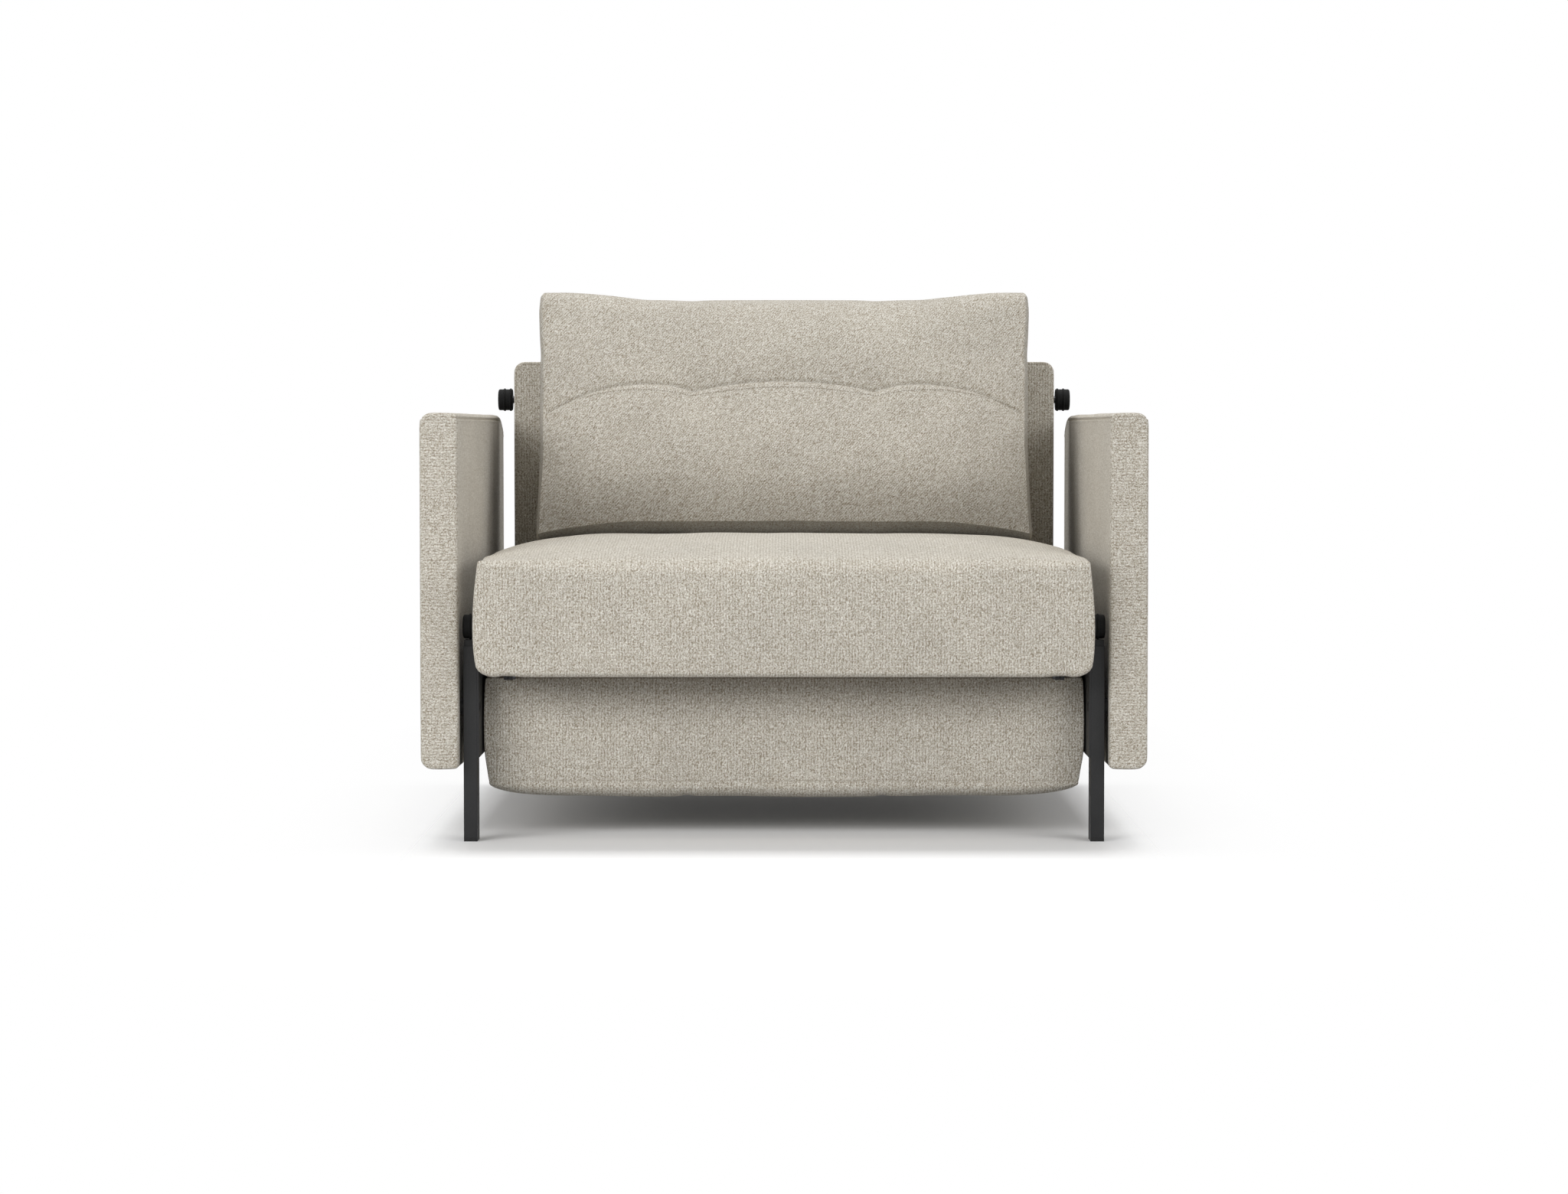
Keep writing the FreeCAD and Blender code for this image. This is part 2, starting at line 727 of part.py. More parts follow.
def back_block():
    """The backrest's outline: a slab with rounded edges and a lightly bowed front."""
    front, rear = mm("back_front"), mm("back_rear")
    low, high, half = mm("back_base"), mm("back_top"), mm("back_half")
    heel, rear_heel, brow = mm("back_front_round"), mm("back_rear_round"), mm("back_top_round")
    crown, corner = mm("back_crown"), mm("back_corner_round")
    heel_dip, rear_dip, brow_dip = heel * ARC_INSET, rear_heel * ARC_INSET, brow * ARC_INSET
    corner_dip = corner * ARC_INSET

    def at(depth, z):
        return vec(-half, depth, z)

    profile = [
        Part.LineSegment(at(front + heel, low), at(rear - rear_heel, low)),
        Part.Arc(at(rear - rear_heel, low), at(rear - rear_dip, low + rear_dip), at(rear, low + rear_heel)),
        Part.LineSegment(at(rear, low + rear_heel), at(rear, high - brow)),
        Part.Arc(at(rear, high - brow), at(rear - brow_dip, high - brow_dip), at(rear - brow, high)),
        Part.LineSegment(at(rear - brow, high), at(front + brow, high)),
        Part.Arc(at(front + brow, high), at(front + brow_dip, high - brow_dip), at(front, high - brow)),
        Part.Arc(at(front, high - brow), at(front - crown, (low + high) / 2), at(front, low + heel)),
        Part.Arc(at(front, low + heel), at(front + heel_dip, low + heel_dip), at(front + heel, low)),
    ]
    slab = Part.Face(closed_wire(profile)).extrude(vec(2 * half, 0, 0))
    start = front - 2 * crown
    outline = [
        Part.LineSegment(vec(-half, start, low), vec(half, start, low)),
        Part.LineSegment(vec(half, start, low), vec(half, start, high - corner)),
        Part.Arc(vec(half, start, high - corner), vec(half - corner_dip, start, high - corner_dip),
                 vec(half - corner, start, high)),
        Part.LineSegment(vec(half - corner, start, high), vec(corner - half, start, high)),
        Part.Arc(vec(corner - half, start, high), vec(corner_dip - half, start, high - corner_dip),
                 vec(-half, start, high - corner)),
        Part.LineSegment(vec(-half, start, high - corner), vec(-half, start, low)),
    ]
    window = Part.Face(closed_wire(outline)).extrude(vec(0, rear - start + 2 * crown, 0))
    return slab.common(window)


def back():
    """The back section: padding in front of a box frame with slats and a rear panel."""
    whole = solid("back block", back_block())
    margin = "cutter_margin"
    wide = both(f"back_half + {margin}")
    inner = "back_half - side_rail_width"
    tall = (f"back_base - {margin}", f"back_top + {margin}")
    keep(common("back_pad", whole, box(
        "back pad cutter", wide, (f"back_front - 2 * back_crown - {margin}", "back_frame_front"), tall)))
    frame_run = ("back_frame_front", f"back_rear + {margin}")
    base_top, head_base = "back_base + back_rail_height", "back_top - side_rail_width"
    rows = (
        ("back_bottom_rail", (f"back_base - {margin}", base_top)),
        ("back_top_rail", (head_base, f"back_top + {margin}")),
    )
    for name, height in rows:
        keep(common(name, whole, box(f"{name} cutter", wide, frame_run, height)))
    axles, pins = [], []
    for label, side in SIDES:
        cutter = box(f"{label} back rail cutter", span(side, inner, f"back_half + {margin}"), frame_run,
                     (base_top, head_base))
        blank = common(f"{label} back rail blank", whole, cutter)
        pin_hole = axle_hole(f"{label} pivot hole", side, "back_half", "pivot_depth", "back_pivot_height")
        roller_hole = axle_hole(f"{label} back axle hole", side, "back_half", "back_roller_depth",
                                "back_roller_height")
        keep(cut(f"{label}_back_rail", blank, [pin_hole, roller_hole]))
        seat_of = "rear_roller_inner"
        axles.append(axle(f"{label} back axle", side, "back_half", seat_of, "back_roller_depth",
                          "back_roller_height"))
        keep(roller(f"back_{label}_roller", side, seat_of, "back_roller_depth", "back_roller_height"))
        shank = span(side, "back_half - axle_grip", "hinge_plate_outer + pivot_head_height / 2")
        head = span(side, "hinge_plate_outer + roller_gap", "hinge_plate_outer + pivot_head_height")
        pins.append(join(f"{label} pivot pin", [
            rod(f"{label} pin shank", "axle_radius", shank, "pivot_depth", "back_pivot_height"),
            rod(f"{label} pin head", "pivot_head_radius", head, "pivot_depth", "back_pivot_height"),
        ]))
    panel_run = ("back_rear - back_panel_thickness", "back_rear")
    keep(box("back_panel", both(inner), panel_run, (base_top, head_base)))
    bars = []
    count = int(mm("back_slat_count"))
    for number in range(count):
        centre = f"{base_top} + ({head_base} - ({base_top})) * {number + 0.5} / {count}"
        height = (f"{centre} - slat_width / 2", f"{centre} + slat_width / 2")
        run = ("back_frame_front", "back_frame_front + slat_thickness")
        bars.append(box(f"back slat {number + 1}", both(inner), run, height))
    keep(group("back_slats", bars), group("back_roller_axles", axles), group("back_pivot_pins", pins))


def foot_arm(label, side):
    """The bent arm that carries the foot section from its hinge."""
    across = span(side, "foot_arm_inner", "foot_arm_outer")
    strip_top = "seat_base + lug_radius"
    reach = "foot_hinge_depth + arm_strip_length"
    eye = rod(f"{label} arm eye", "lug_radius", across, "foot_hinge_depth", "seat_base")
    strip = box(f"{label} arm strip", across, ("foot_hinge_depth", reach),
                (f"{strip_top} - arm_strip_height", strip_top))
    tab_run = (f"{reach} - arm_tab_length", reach)
    tab = box(f"{label} arm tab", across, tab_run, ("foot_top - arm_tab_depth", strip_top))
    packing = box(f"{label} arm packing", span(side, "foot_arm_inner", "foot_rail_inner"), tab_run,
                  ("foot_top - arm_tab_depth", "foot_top"))
    bore = span(side, "foot_arm_inner - tube_wall", "foot_arm_outer + tube_wall")
    hole = rod(f"{label} arm bore", "hinge_pin_radius + bolt_seat_play", bore, "foot_hinge_depth", "seat_base")
    return cut(f"{label} foot arm", join(f"{label} arm blank", [eye, strip, tab, packing]), [hole])


def pin(name, side, inner, outer, depth, height):
    """A hinge pin with a flat head on its inner end."""
    return join(name, [
        rod(f"{name} shank", "hinge_pin_radius", span(side, f"{inner} - tube_wall", outer), depth, height),
        rod(f"{name} head", "hinge_head_radius", span(side, f"{inner} - 2 * tube_wall", inner), depth, height),
    ])


def foot():
    """The third section, folded face down under the seat."""
    upper = mm("foot_top") + mm("cutter_margin")
    whole = solid("foot block", mattress(
        mm("foot_half"), mm("foot_front"), mm("foot_rear"), upper, mm("foot_edge"), mm("foot_crown"),
        mm("foot_bulge"), mm("foot_bulge"),
    ))
    margin = "cutter_margin"
    below = box(
        "foot mattress cutter", both("bed_width"), (f"foot_front - {margin}", f"foot_rear + {margin}"),
        ("foot_edge - 2 * foot_crown", "foot_frame_base"),
    )
    keep(common("foot_mattress", whole, below))
    rails = box_rails(
        "foot", ("foot_hinge_rail", "foot_end_rail"), whole, "foot_half", "foot_rail_inner",
        ("foot_front", "foot_rear"), ("foot_front + foot_rail_depth", "foot_rear - foot_rail_depth"),
        ("foot_frame_base", "foot_top"),
    )
    keep(*rails.values())
    keep(slats(
        "foot_slats", "foot_rail_inner", ("foot_front + foot_rail_depth", "foot_rear - foot_rail_depth"),
        ("foot_frame_base", "foot_frame_base + slat_thickness"), int(mm("foot_slat_count")),
    ))
    arms_made, pins, brackets = [], [], []
    for label, side in SIDES:
        arms_made.append(foot_arm(label, side))
        pins.append(pin(f"{label} foot hinge pin", side, "foot_arm_inner", "lug_outer - roller_gap",
                        "foot_hinge_depth", "seat_base"))
        brackets.append(leg_bracket(label, side))
    keep(group("foot_hinge_arms", arms_made), group("foot_hinge_pins", pins), group("leg_brackets", brackets))


def leg_bracket(label, side):
    """The plate inside the foot section's frame that a support leg swings on."""
    across = span(side, "bracket_inner", "foot_rail_inner")
    eye = rod(f"{label} bracket eye", "leg_bracket_radius", across, "leg_pivot_depth", "leg_pivot_level")
    stem = box(
        f"{label} bracket stem", across,
        ("leg_pivot_depth - leg_bracket_radius", "leg_pivot_depth + 2 * leg_bracket_radius"),
        ("leg_pivot_level - 3 * leg_bracket_radius", "leg_pivot_level"),
    )
    bore = span(side, "bracket_inner - tube_wall", "foot_rail_inner + tube_wall")
    hole = rod(f"{label} bracket bore", "hinge_pin_radius + axle_play", bore, "leg_pivot_depth", "leg_pivot_level")
    return cut(f"{label} leg bracket", join(f"{label} bracket blank", [eye, stem]), [hole])


def support_leg():
    """The U-shaped leg that drops from the foot section when it is unfolded."""
    low, high = "leg_pivot_level - leg_tube / 2", "leg_pivot_level + leg_tube / 2"
    tips = ("leg_tip", "leg_pivot_depth + leg_tube / 2")
    pins = []
    for label, side in SIDES:
        across = span(side, "leg_inner", "leg_outer")
        blank = box(f"{label} leg blank", across, tips, (low, high))
        bore = box(
            f"{label} leg bore", span(side, "leg_inner + leg_tube_wall", "leg_outer - leg_tube_wall"),
            ("leg_tip + leg_tube_wall", "leg_pivot_depth + leg_tube"),
            (f"{low} + leg_tube_wall", f"{high} - leg_tube_wall"),
        )
        reach = span(side, "leg_inner - tube_wall", "leg_outer + tube_wall")
        hole = rod(f"{label} leg pin hole", "hinge_pin_radius + bolt_seat_play", reach, "leg_pivot_depth",
                   "leg_pivot_level")
        keep(cut(f"{label}_support_leg", blank, [bore, hole]))
        pins.append(pin(f"{label} leg pin", side, "leg_inner", "foot_rail_inner - roller_gap",
                        "leg_pivot_depth", "leg_pivot_level"))
    keep(tube("support_leg_bar", both("leg_inner"), ("leg_tip", "leg_tip + leg_tube"), (low, high), 0))
    keep(group("support_leg_pins", pins))


def cushion_shape(shrink):
    """A wedge that leans on the back: bowed front, thin top edge, and a gusset under the front seam."""
    half = mm("cushion_width") / 2
    bed_half = mm("bed_width") / 2
    seat_middle = (mm("seat_bulge") + mm("seat_depth") - mm("seat_rear_bulge")) / 2
    seat_reach = seat_middle - mm("seat_bulge")
    front, top_depth = mm("cushion_front") + shrink, mm("cushion_top_depth") + shrink
    rear = mm("back_front") - mm("back_crown") - mm("rest_gap") - shrink
    tuft = mm("cushion_tuft_offset")
    heel = front + mm("cushion_gusset")

    def seat_level(x, depth):
        slope = 1 - ((depth - seat_middle) / seat_reach) ** 2
        rise = mm("least_crown") + mm("seat_crown") * crown_share(x, bed_half)
        return mm("seat_edge") + rise * slope

    wires = []
    for x in stations(half, tuft):
        share = crown_share(x, half)
        dip = mm("cushion_tuft_dip") if abs(x) == tuft else 0
        seam = mm("cushion_seam") - mm("cushion_corner_drop") * (1 - share) + shrink
        low = seat_level(x, heel) * share + (seam - mm("least_bulge")) * (1 - share) + mm("rest_gap") + shrink
        back_low = seat_level(x, mm("seat_depth") - mm("seat_rear_bulge")) + mm("rest_gap") + shrink
        high = mm("cushion_top") - mm("cushion_top_dip") * share - shrink
        bulge = mm("least_bulge") + (mm("cushion_bulge") - mm("least_bulge")) * share - dip
        inward = shrink if x > 0 else -shrink
        place_x = x - (inward if x else 0)
        shoulder = rear - mm("cushion_rear_lean")
        tips = (vec(place_x, heel, low), vec(place_x, rear, back_low), vec(place_x, shoulder, high),
                vec(place_x, top_depth, high), vec(place_x, front, seam))
        brow = (tips[2] + tips[3]) * 0.5 + vec(0, 0, mm("cushion_top_round"))
        chin = (tips[4] + tips[0]) * 0.5 - vec(0, mm("cushion_chin"), mm("cushion_chin"))
        face = (tips[3] + tips[4]) * 0.5 + vec(0, -bulge, bulge * FACE_LIFT)
        wires.append(closed_wire([
            Part.LineSegment(tips[0], tips[1]),
            Part.LineSegment(tips[1], tips[2]),
            Part.Arc(tips[2], brow, tips[3]),
            Part.Arc(tips[3], face, tips[4]),
            Part.Arc(tips[4], chin, tips[0]),
        ]))
    return Part.makeLoft(wires, True, False)


def cushion():
    """The loose back cushion: a sewn cover round a filling."""
    outside = solid("cushion outline", cushion_shape(0))
    inside = solid("cushion hollow", cushion_shape(mm("cushion_cover")))
    keep(cut("back_cushion_cover", outside, [inside]))
    keep(solid("back_cushion_filling", cushion_shape(mm("cushion_cover") + mm("bolt_play"))))


frame()
arms()
seat()
back()
foot()
support_leg()
cushion()
doc.recompute()

faults = [thing.Label for thing in doc.Objects if {"Invalid", "Error"} & set(thing.State)]
for node in nodes:
    if node.Shape.isNull() or not node.Shape.isValid() or node.Shape.Volume <= 0:
        faults.append(node.Label)
if faults:
    raise RuntimeError("These objects failed: " + ", ".join(sorted(set(faults))))

os.makedirs("parts", exist_ok=True)
for node in nodes:
    node.Shape.exportStep(f"parts/{node.Label}.step")
print(len(nodes), "sub-parts written")
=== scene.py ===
"""The looks of the chair bed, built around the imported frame. Metres; X across, Y back, Z up."""

import math

import bpy
import numpy as np
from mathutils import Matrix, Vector
from mathutils.bvhtree import BVHTree


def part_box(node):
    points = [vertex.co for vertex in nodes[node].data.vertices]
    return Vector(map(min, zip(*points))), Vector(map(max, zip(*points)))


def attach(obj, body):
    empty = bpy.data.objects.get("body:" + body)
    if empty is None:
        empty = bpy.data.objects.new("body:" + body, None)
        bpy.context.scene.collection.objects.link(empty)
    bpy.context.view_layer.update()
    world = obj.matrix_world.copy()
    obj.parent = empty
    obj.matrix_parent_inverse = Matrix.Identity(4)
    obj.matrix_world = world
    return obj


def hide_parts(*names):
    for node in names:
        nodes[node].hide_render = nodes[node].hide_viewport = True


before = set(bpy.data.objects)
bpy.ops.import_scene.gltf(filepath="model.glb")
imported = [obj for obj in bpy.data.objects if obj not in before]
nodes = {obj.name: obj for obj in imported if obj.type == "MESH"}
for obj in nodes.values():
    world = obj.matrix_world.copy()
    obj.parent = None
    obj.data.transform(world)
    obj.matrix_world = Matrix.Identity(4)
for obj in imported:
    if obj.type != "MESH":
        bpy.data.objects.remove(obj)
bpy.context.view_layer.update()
scene = bpy.context.scene
FORE = -0.485  # depths are counted back from the seat's front, which is at this Y


# ---------------------------------------------------------------- camera, light, floor
def make_camera():
    data = bpy.data.cameras.new("camera")
    pitch_down = 2.513
    data.lens = 86.13
    data.sensor_width = 36
    data.sensor_fit = "HORIZONTAL"
    data.clip_end = 100
    camera = bpy.data.objects.new("camera", data)
    camera.location = (0, -5.973, 0.608)
    camera.rotation_euler = (math.radians(90 - pitch_down), 0, 0)
    scene.collection.objects.link(camera)
    scene.camera = camera


def make_lamp(name, place, aim, size, watts):
    data = bpy.data.lights.new(name, "AREA")
    data.shape = "RECTANGLE"
    data.size, data.size_y = size
    data.energy = watts
    lamp = bpy.data.objects.new(name, data)
    lamp.location = place
    lamp.rotation_mode = "QUATERNION"
    lamp.rotation_quaternion = (Vector(aim) - Vector(place)).to_track_quat("-Z", "Y")
    scene.collection.objects.link(lamp)


def seen_directly(tree):
    """1 for rays from the camera, a mirror or glass."""
    path = tree.nodes.new("ShaderNodeLightPath")
    total = path.outputs["Is Camera Ray"]
    for name in ("Is Glossy Ray", "Is Transmission Ray"):
        either = tree.nodes.new("ShaderNodeMath")
        either.operation = "MAXIMUM"
        tree.links.new(total, either.inputs[0])
        tree.links.new(path.outputs[name], either.inputs[1])
        total = either.outputs[0]
    return total


def make_world(strength):
    world = bpy.data.worlds.new("studio")
    world.use_nodes = True
    tree = world.node_tree
    tree.nodes.clear()
    out = tree.nodes.new("ShaderNodeOutputWorld")
    mix = tree.nodes.new("ShaderNodeMixShader")
    soft = tree.nodes.new("ShaderNodeBackground")
    soft.inputs["Strength"].default_value = strength
    white = tree.nodes.new("ShaderNodeBackground")
    white.inputs["Color"].default_value = (1, 1, 1, 1)
    soft.inputs["Color"].default_value = (1, 1, 1, 1)
    tree.links.new(seen_directly(tree), mix.inputs[0])
    tree.links.new(soft.outputs[0], mix.inputs[1])
    tree.links.new(white.outputs[0], mix.inputs[2])
    tree.links.new(mix.outputs[0], out.inputs[0])
    scene.world = world


# how far the floor clears to the camera, by the distance to the object's middle plane and from its centre.
# The side band is painted light: it clears the floor to white under the arms, over their shadow.
SIDE_FADE = ((0.46, 0.04), (0.50, 0.35), (0.53, 0.68), (0.56, 0.82), (0.66, 0.92), (0.80, 1.0))
FAR_FADE = (1.0, 2.0)
FLOOR_BOUNCE, FLOOR_SEEN = 0.55, 1.0


def make_floor():
    mesh = bpy.data.meshes.new("floor")
    reach = 9
    corners = [(-reach, -reach, 0), (reach, -reach, 0), (reach, reach, 0), (-reach, reach, 0)]
    mesh.from_pydata(corners, [], [(0, 1, 2, 3)])
    floor = bpy.data.objects.new("floor", mesh)
    scene.collection.objects.link(floor)
    material = bpy.data.materials.new("floor")
    material.use_nodes = True
    tree = material.node_tree
    tree.nodes.clear()
    out = tree.nodes.new("ShaderNodeOutputMaterial")
    seen = seen_directly(tree)
    tone = tree.nodes.new("ShaderNodeMapRange")
    tone.inputs["To Min"].default_value = FLOOR_BOUNCE
    tone.inputs["To Max"].default_value = FLOOR_SEEN
    plain = tree.nodes.new("ShaderNodeBsdfDiffuse")
    clear = tree.nodes.new("ShaderNodeBsdfTransparent")
    tree.links.new(seen, tone.inputs["Value"])
    tree.links.new(tone.outputs[0], plain.inputs["Color"])
    place = tree.nodes.new("ShaderNodeTexCoord")
    length = tree.nodes.new("ShaderNodeVectorMath")
    length.operation = "LENGTH"
    far = tree.nodes.new("ShaderNodeMapRange")
    far.interpolation_type = "SMOOTHSTEP"
    far.inputs["From Min"].default_value = FAR_FADE[0]
    far.inputs["From Max"].default_value = FAR_FADE[1]
    apart = tree.nodes.new("ShaderNodeSeparateXYZ")
    aside = tree.nodes.new("ShaderNodeMath")
    aside.operation = "ABSOLUTE"
    # painted light: the floor turns white to the camera beside the chair, where the arms' shadow falls
    side = tree.nodes.new("ShaderNodeValToRGB")
    band = side.color_ramp
    while len(band.elements) < len(SIDE_FADE):
        band.elements.new(0.5)
    for element, (at, amount) in zip(band.elements, SIDE_FADE):
        element.position = at
        element.color = (amount, amount, amount, 1)
    fade = tree.nodes.new("ShaderNodeMath")
    fade.operation = "MAXIMUM"
    tree.links.new(place.outputs["Object"], apart.inputs[0])
    tree.links.new(apart.outputs["X"], aside.inputs[0])
    tree.links.new(aside.outputs[0], side.inputs[0])
    tree.links.new(side.outputs[0], fade.inputs[0])
    tree.links.new(far.outputs[0], fade.inputs[1])
    both = tree.nodes.new("ShaderNodeMath")
    both.operation = "MULTIPLY"
    mix = tree.nodes.new("ShaderNodeMixShader")
    tree.links.new(place.outputs["Object"], length.inputs[0])
    tree.links.new(length.outputs["Value"], far.inputs["Value"])
    tree.links.new(fade.outputs[0], both.inputs[0])
    tree.links.new(seen, both.inputs[1])
    tree.links.new(both.outputs[0], mix.inputs[0])
    tree.links.new(plain.outputs[0], mix.inputs[1])
    tree.links.new(clear.outputs[0], mix.inputs[2])
    tree.links.new(mix.outputs[0], out.inputs[0])
    mesh.materials.append(material)


scene.view_settings.view_transform = "Standard"
make_camera()
make_world(0.32)
make_floor()
make_lamp("overhead", (0, 0.35, 3.4), (0, 0, 0.3), (2.2, 1.0), 62)
make_lamp("left_front", (-2.75, -3.5, 1.65), (0, 0, 0.4), (3.0, 1.6), 104)
make_lamp("right_front", (2.9, -3.3, 1.65), (0, 0, 0.4), (3.0, 1.6), 66)


# ---------------------------------------------------------------- materials
class Paint:
    """A material and the nodes that make it."""

    def __init__(self, name, roughness, metallic=0.0):
        self.material = bpy.data.materials.new(name)
        self.material.use_nodes = True
        self.tree = self.material.node_tree
        self.tree.nodes.clear()
        out = self.tree.nodes.new("ShaderNodeOutputMaterial")
        self.shader = self.tree.nodes.new("ShaderNodeBsdfPrincipled")
        self.shader.inputs["Roughness"].default_value = roughness
        self.shader.inputs["Metallic"].default_value = metallic
        self.tree.links.new(self.shader.outputs[0], out.inputs[0])
        self.place = self.tree.nodes.new("ShaderNodeTexCoord").outputs["Object"]

    def turned(self, angles, scale):
        """Object coordinates in a turned and stretched frame."""
        node = self.tree.nodes.new("ShaderNodeMapping")
        node.vector_type = "TEXTURE"
        node.inputs["Rotation"].default_value = [math.radians(a) for a in angles]
        node.inputs["Scale"].default_value = scale
        self.tree.links.new(self.place, node.inputs["Vector"])
        return node.outputs[0]

    def noise(self, size, detail=2.0, place=None):
        node = self.tree.nodes.new("ShaderNodeTexNoise")
        node.inputs["Scale"].default_value = 1 / size
        node.inputs["Detail"].default_value = detail
        self.tree.links.new(place or self.place, node.inputs["Vector"])
        return node.outputs["Fac"]

    def cells(self, size, place=None, loose=1.0):
        node = self.tree.nodes.new("ShaderNodeTexVoronoi")
        node.inputs["Scale"].default_value = 1 / size
        node.inputs["Randomness"].default_value = loose
        self.tree.links.new(place or self.place, node.inputs["Vector"])
        return node.outputs["Distance"], node.outputs["Color"]

    def ramp(self, value, stops):
        node = self.tree.nodes.new("ShaderNodeValToRGB")
        band = node.color_ramp
        while len(band.elements) < len(stops):
            band.elements.new(0.5)
        for element, (at, colour) in zip(band.elements, stops):
            element.position = at
            element.color = (*colour, 1)
        self.tree.links.new(value, node.inputs[0])
        return node.outputs[0]

    def span(self, value, low, high, start=0.0, stop=1.0):
        node = self.tree.nodes.new("ShaderNodeMapRange")
        node.inputs["From Min"].default_value = start
        node.inputs["From Max"].default_value = stop
        node.inputs["To Min"].default_value = low
        node.inputs["To Max"].default_value = high
        self.tree.links.new(value, node.inputs["Value"])
        return node.outputs[0]

    def math(self, what, one, other):
        node = self.tree.nodes.new("ShaderNodeMath")
        node.operation = what
        for slot, value in zip(node.inputs, (one, other)):
            if isinstance(value, (int, float)):
                slot.default_value = value
            else:
                self.tree.links.new(value, slot)
        return node.outputs[0]

    def shade(self, colour, factor):
        """A colour times a grey factor."""
        node = self.tree.nodes.new("ShaderNodeVectorMath")
        node.operation = "SCALE"
        self.tree.links.new(colour, node.inputs[0])
        self.tree.links.new(factor, node.inputs["Scale"])
        return node.outputs[0]

    def colour(self, value):
        self.tree.links.new(value, self.shader.inputs["Base Color"])

    def rough(self, value):
        self.tree.links.new(value, self.shader.inputs["Roughness"])

    def bump(self, height, depth, strength=1.0, edge=None):
        node = self.tree.nodes.new("ShaderNodeBump")
        node.inputs["Strength"].default_value = strength
        node.inputs["Distance"].default_value = depth
        self.tree.links.new(height, node.inputs["Height"])
        if edge:
            bevel = self.tree.nodes.new("ShaderNodeBevel")
            bevel.samples = 4
            bevel.inputs["Radius"].default_value = edge
            self.tree.links.new(bevel.outputs[0], node.inputs["Normal"])
        self.tree.links.new(node.outputs[0], self.shader.inputs["Normal"])


CLOTH_TONES = [
    (0.26, (0.235, 0.190, 0.130)),
    (0.38, (0.405, 0.357, 0.283)),
    (0.50, (0.545, 0.505, 0.430)),
    (0.62, (0.680, 0.650, 0.580)),
    (0.74, (0.820, 0.800, 0.745)),
]
PICK_SHARE, CLOUD_SHARE, FINE_SHARE, ROW_SHARE = 0.45, 0.29, 0.26, 0.045
DRIFT_SIZE, DRIFT = 0.007, 7.0


def rows(paint, turn, pitch, shares):
    """Waves across X and Z of a turned frame. X fades on faces to the side, Z on all but front and back."""
    place = paint.tree.nodes.new("ShaderNodeSeparateXYZ")
    paint.tree.links.new(paint.turned(turn, (1, 1, 1)), place.inputs[0])
    facing = paint.tree.nodes.new("ShaderNodeSeparateXYZ")
    coordinate = paint.tree.nodes.new("ShaderNodeTexCoord")
    paint.tree.links.new(coordinate.outputs["Normal"], facing.inputs[0])
    drift = paint.math("MULTIPLY", paint.noise(DRIFT_SIZE, 1.0), DRIFT)
    front = paint.math("MULTIPLY", facing.outputs[1], facing.outputs[1])
    aside = paint.math("MULTIPLY", facing.outputs[0], facing.outputs[0])
    total = 0.0
    along_x = paint.math("SUBTRACT", 1.0, aside)
    for axis, share, weight in ((0, shares[0], along_x), (2, shares[1], front)):
        phase = paint.math("MULTIPLY", place.outputs[axis], 2 * math.pi / pitch)
        phase = paint.math("ADD", phase, drift)
        row = paint.math("MULTIPLY", paint.math("SINE", phase, 0.0), share)
        total = paint.math("ADD", paint.math("MULTIPLY", row, weight), total)
    return total


def tweed(name, turn, stretch, row_turn, pitch, shares, lift=1.0, painted_shade=None):
    """A beige melange of short light and dark picks with faint rows. lift scales its tone. The last argument,
    (low height, high height, factor), is painted shade: darker from the high height down to the low one."""
    paint = Paint(name, 0.93)
    place = paint.turned(turn, stretch)
    distance, colour = paint.cells(0.00085, place, 0.85)
    split = paint.tree.nodes.new("ShaderNodeSeparateColor")
    paint.tree.links.new(colour, split.inputs[0])
    fine = paint.noise(0.0006, 1.0, place)
    cloud = paint.noise(0.0028, 2.0, place)
    weave = rows(paint, row_turn, pitch, shares)
    picks = paint.math("MULTIPLY", split.outputs[0], PICK_SHARE)
    picks = paint.math("ADD", picks, paint.math("MULTIPLY", cloud, CLOUD_SHARE))
    mixed = paint.math("ADD", picks, paint.math("MULTIPLY", fine, FINE_SHARE))
    tones = paint.ramp(paint.math("ADD", mixed, paint.math("MULTIPLY", weave, ROW_SHARE)), CLOTH_TONES)
    # painted shade: each pick darkens toward its edges, where the bump sinks it, and is a little lighter in
    # its middle
    gap = paint.span(distance, 1.05, 0.82, 0.2, 0.75)
    broad = paint.span(paint.noise(0.11, 2.0), 0.96 * lift, 1.04 * lift, 0.3, 0.7)
    tones = paint.shade(paint.shade(tones, gap), broad)
    # painted shade: the cloth darkens from the high height toward the low one
    if painted_shade:
        height = paint.tree.nodes.new("ShaderNodeSeparateXYZ")
        paint.tree.links.new(paint.place, height.inputs[0])
        start, stop, low = painted_shade
        tones = paint.shade(tones, paint.span(height.outputs[2], low, 1.0, start, stop))
    paint.colour(tones)
    pile = paint.math("ADD", paint.math("MULTIPLY", fine, 0.4), paint.math("MULTIPLY", weave, 0.2))
    paint.bump(paint.math("SUBTRACT", pile, distance), 0.0005, 0.7)
    paint.shader.inputs["Sheen Weight"].default_value = 0.12
    paint.shader.inputs["Sheen Roughness"].default_value = 0.5
    paint.shader.inputs["Specular IOR Level"].default_value = 0.2
    return paint.material


def thread(name, dark, pale):
    paint = Paint(name, 0.8)
    paint.colour(paint.ramp(paint.noise(0.002), [(0.35, dark), (0.7, pale)]))
    paint.bump(paint.noise(0.0007), 0.0002)
    return paint.material


def lining():
    paint = Paint("dust_lining", 0.9)
    tones = [(0.3, (0.012, 0.012, 0.012)), (0.7, (0.035, 0.034, 0.032))]
    paint.colour(paint.ramp(paint.noise(0.0012, 3.0), tones))
    paint.bump(paint.noise(0.001, 3.0), 0.0003)
    return paint.material


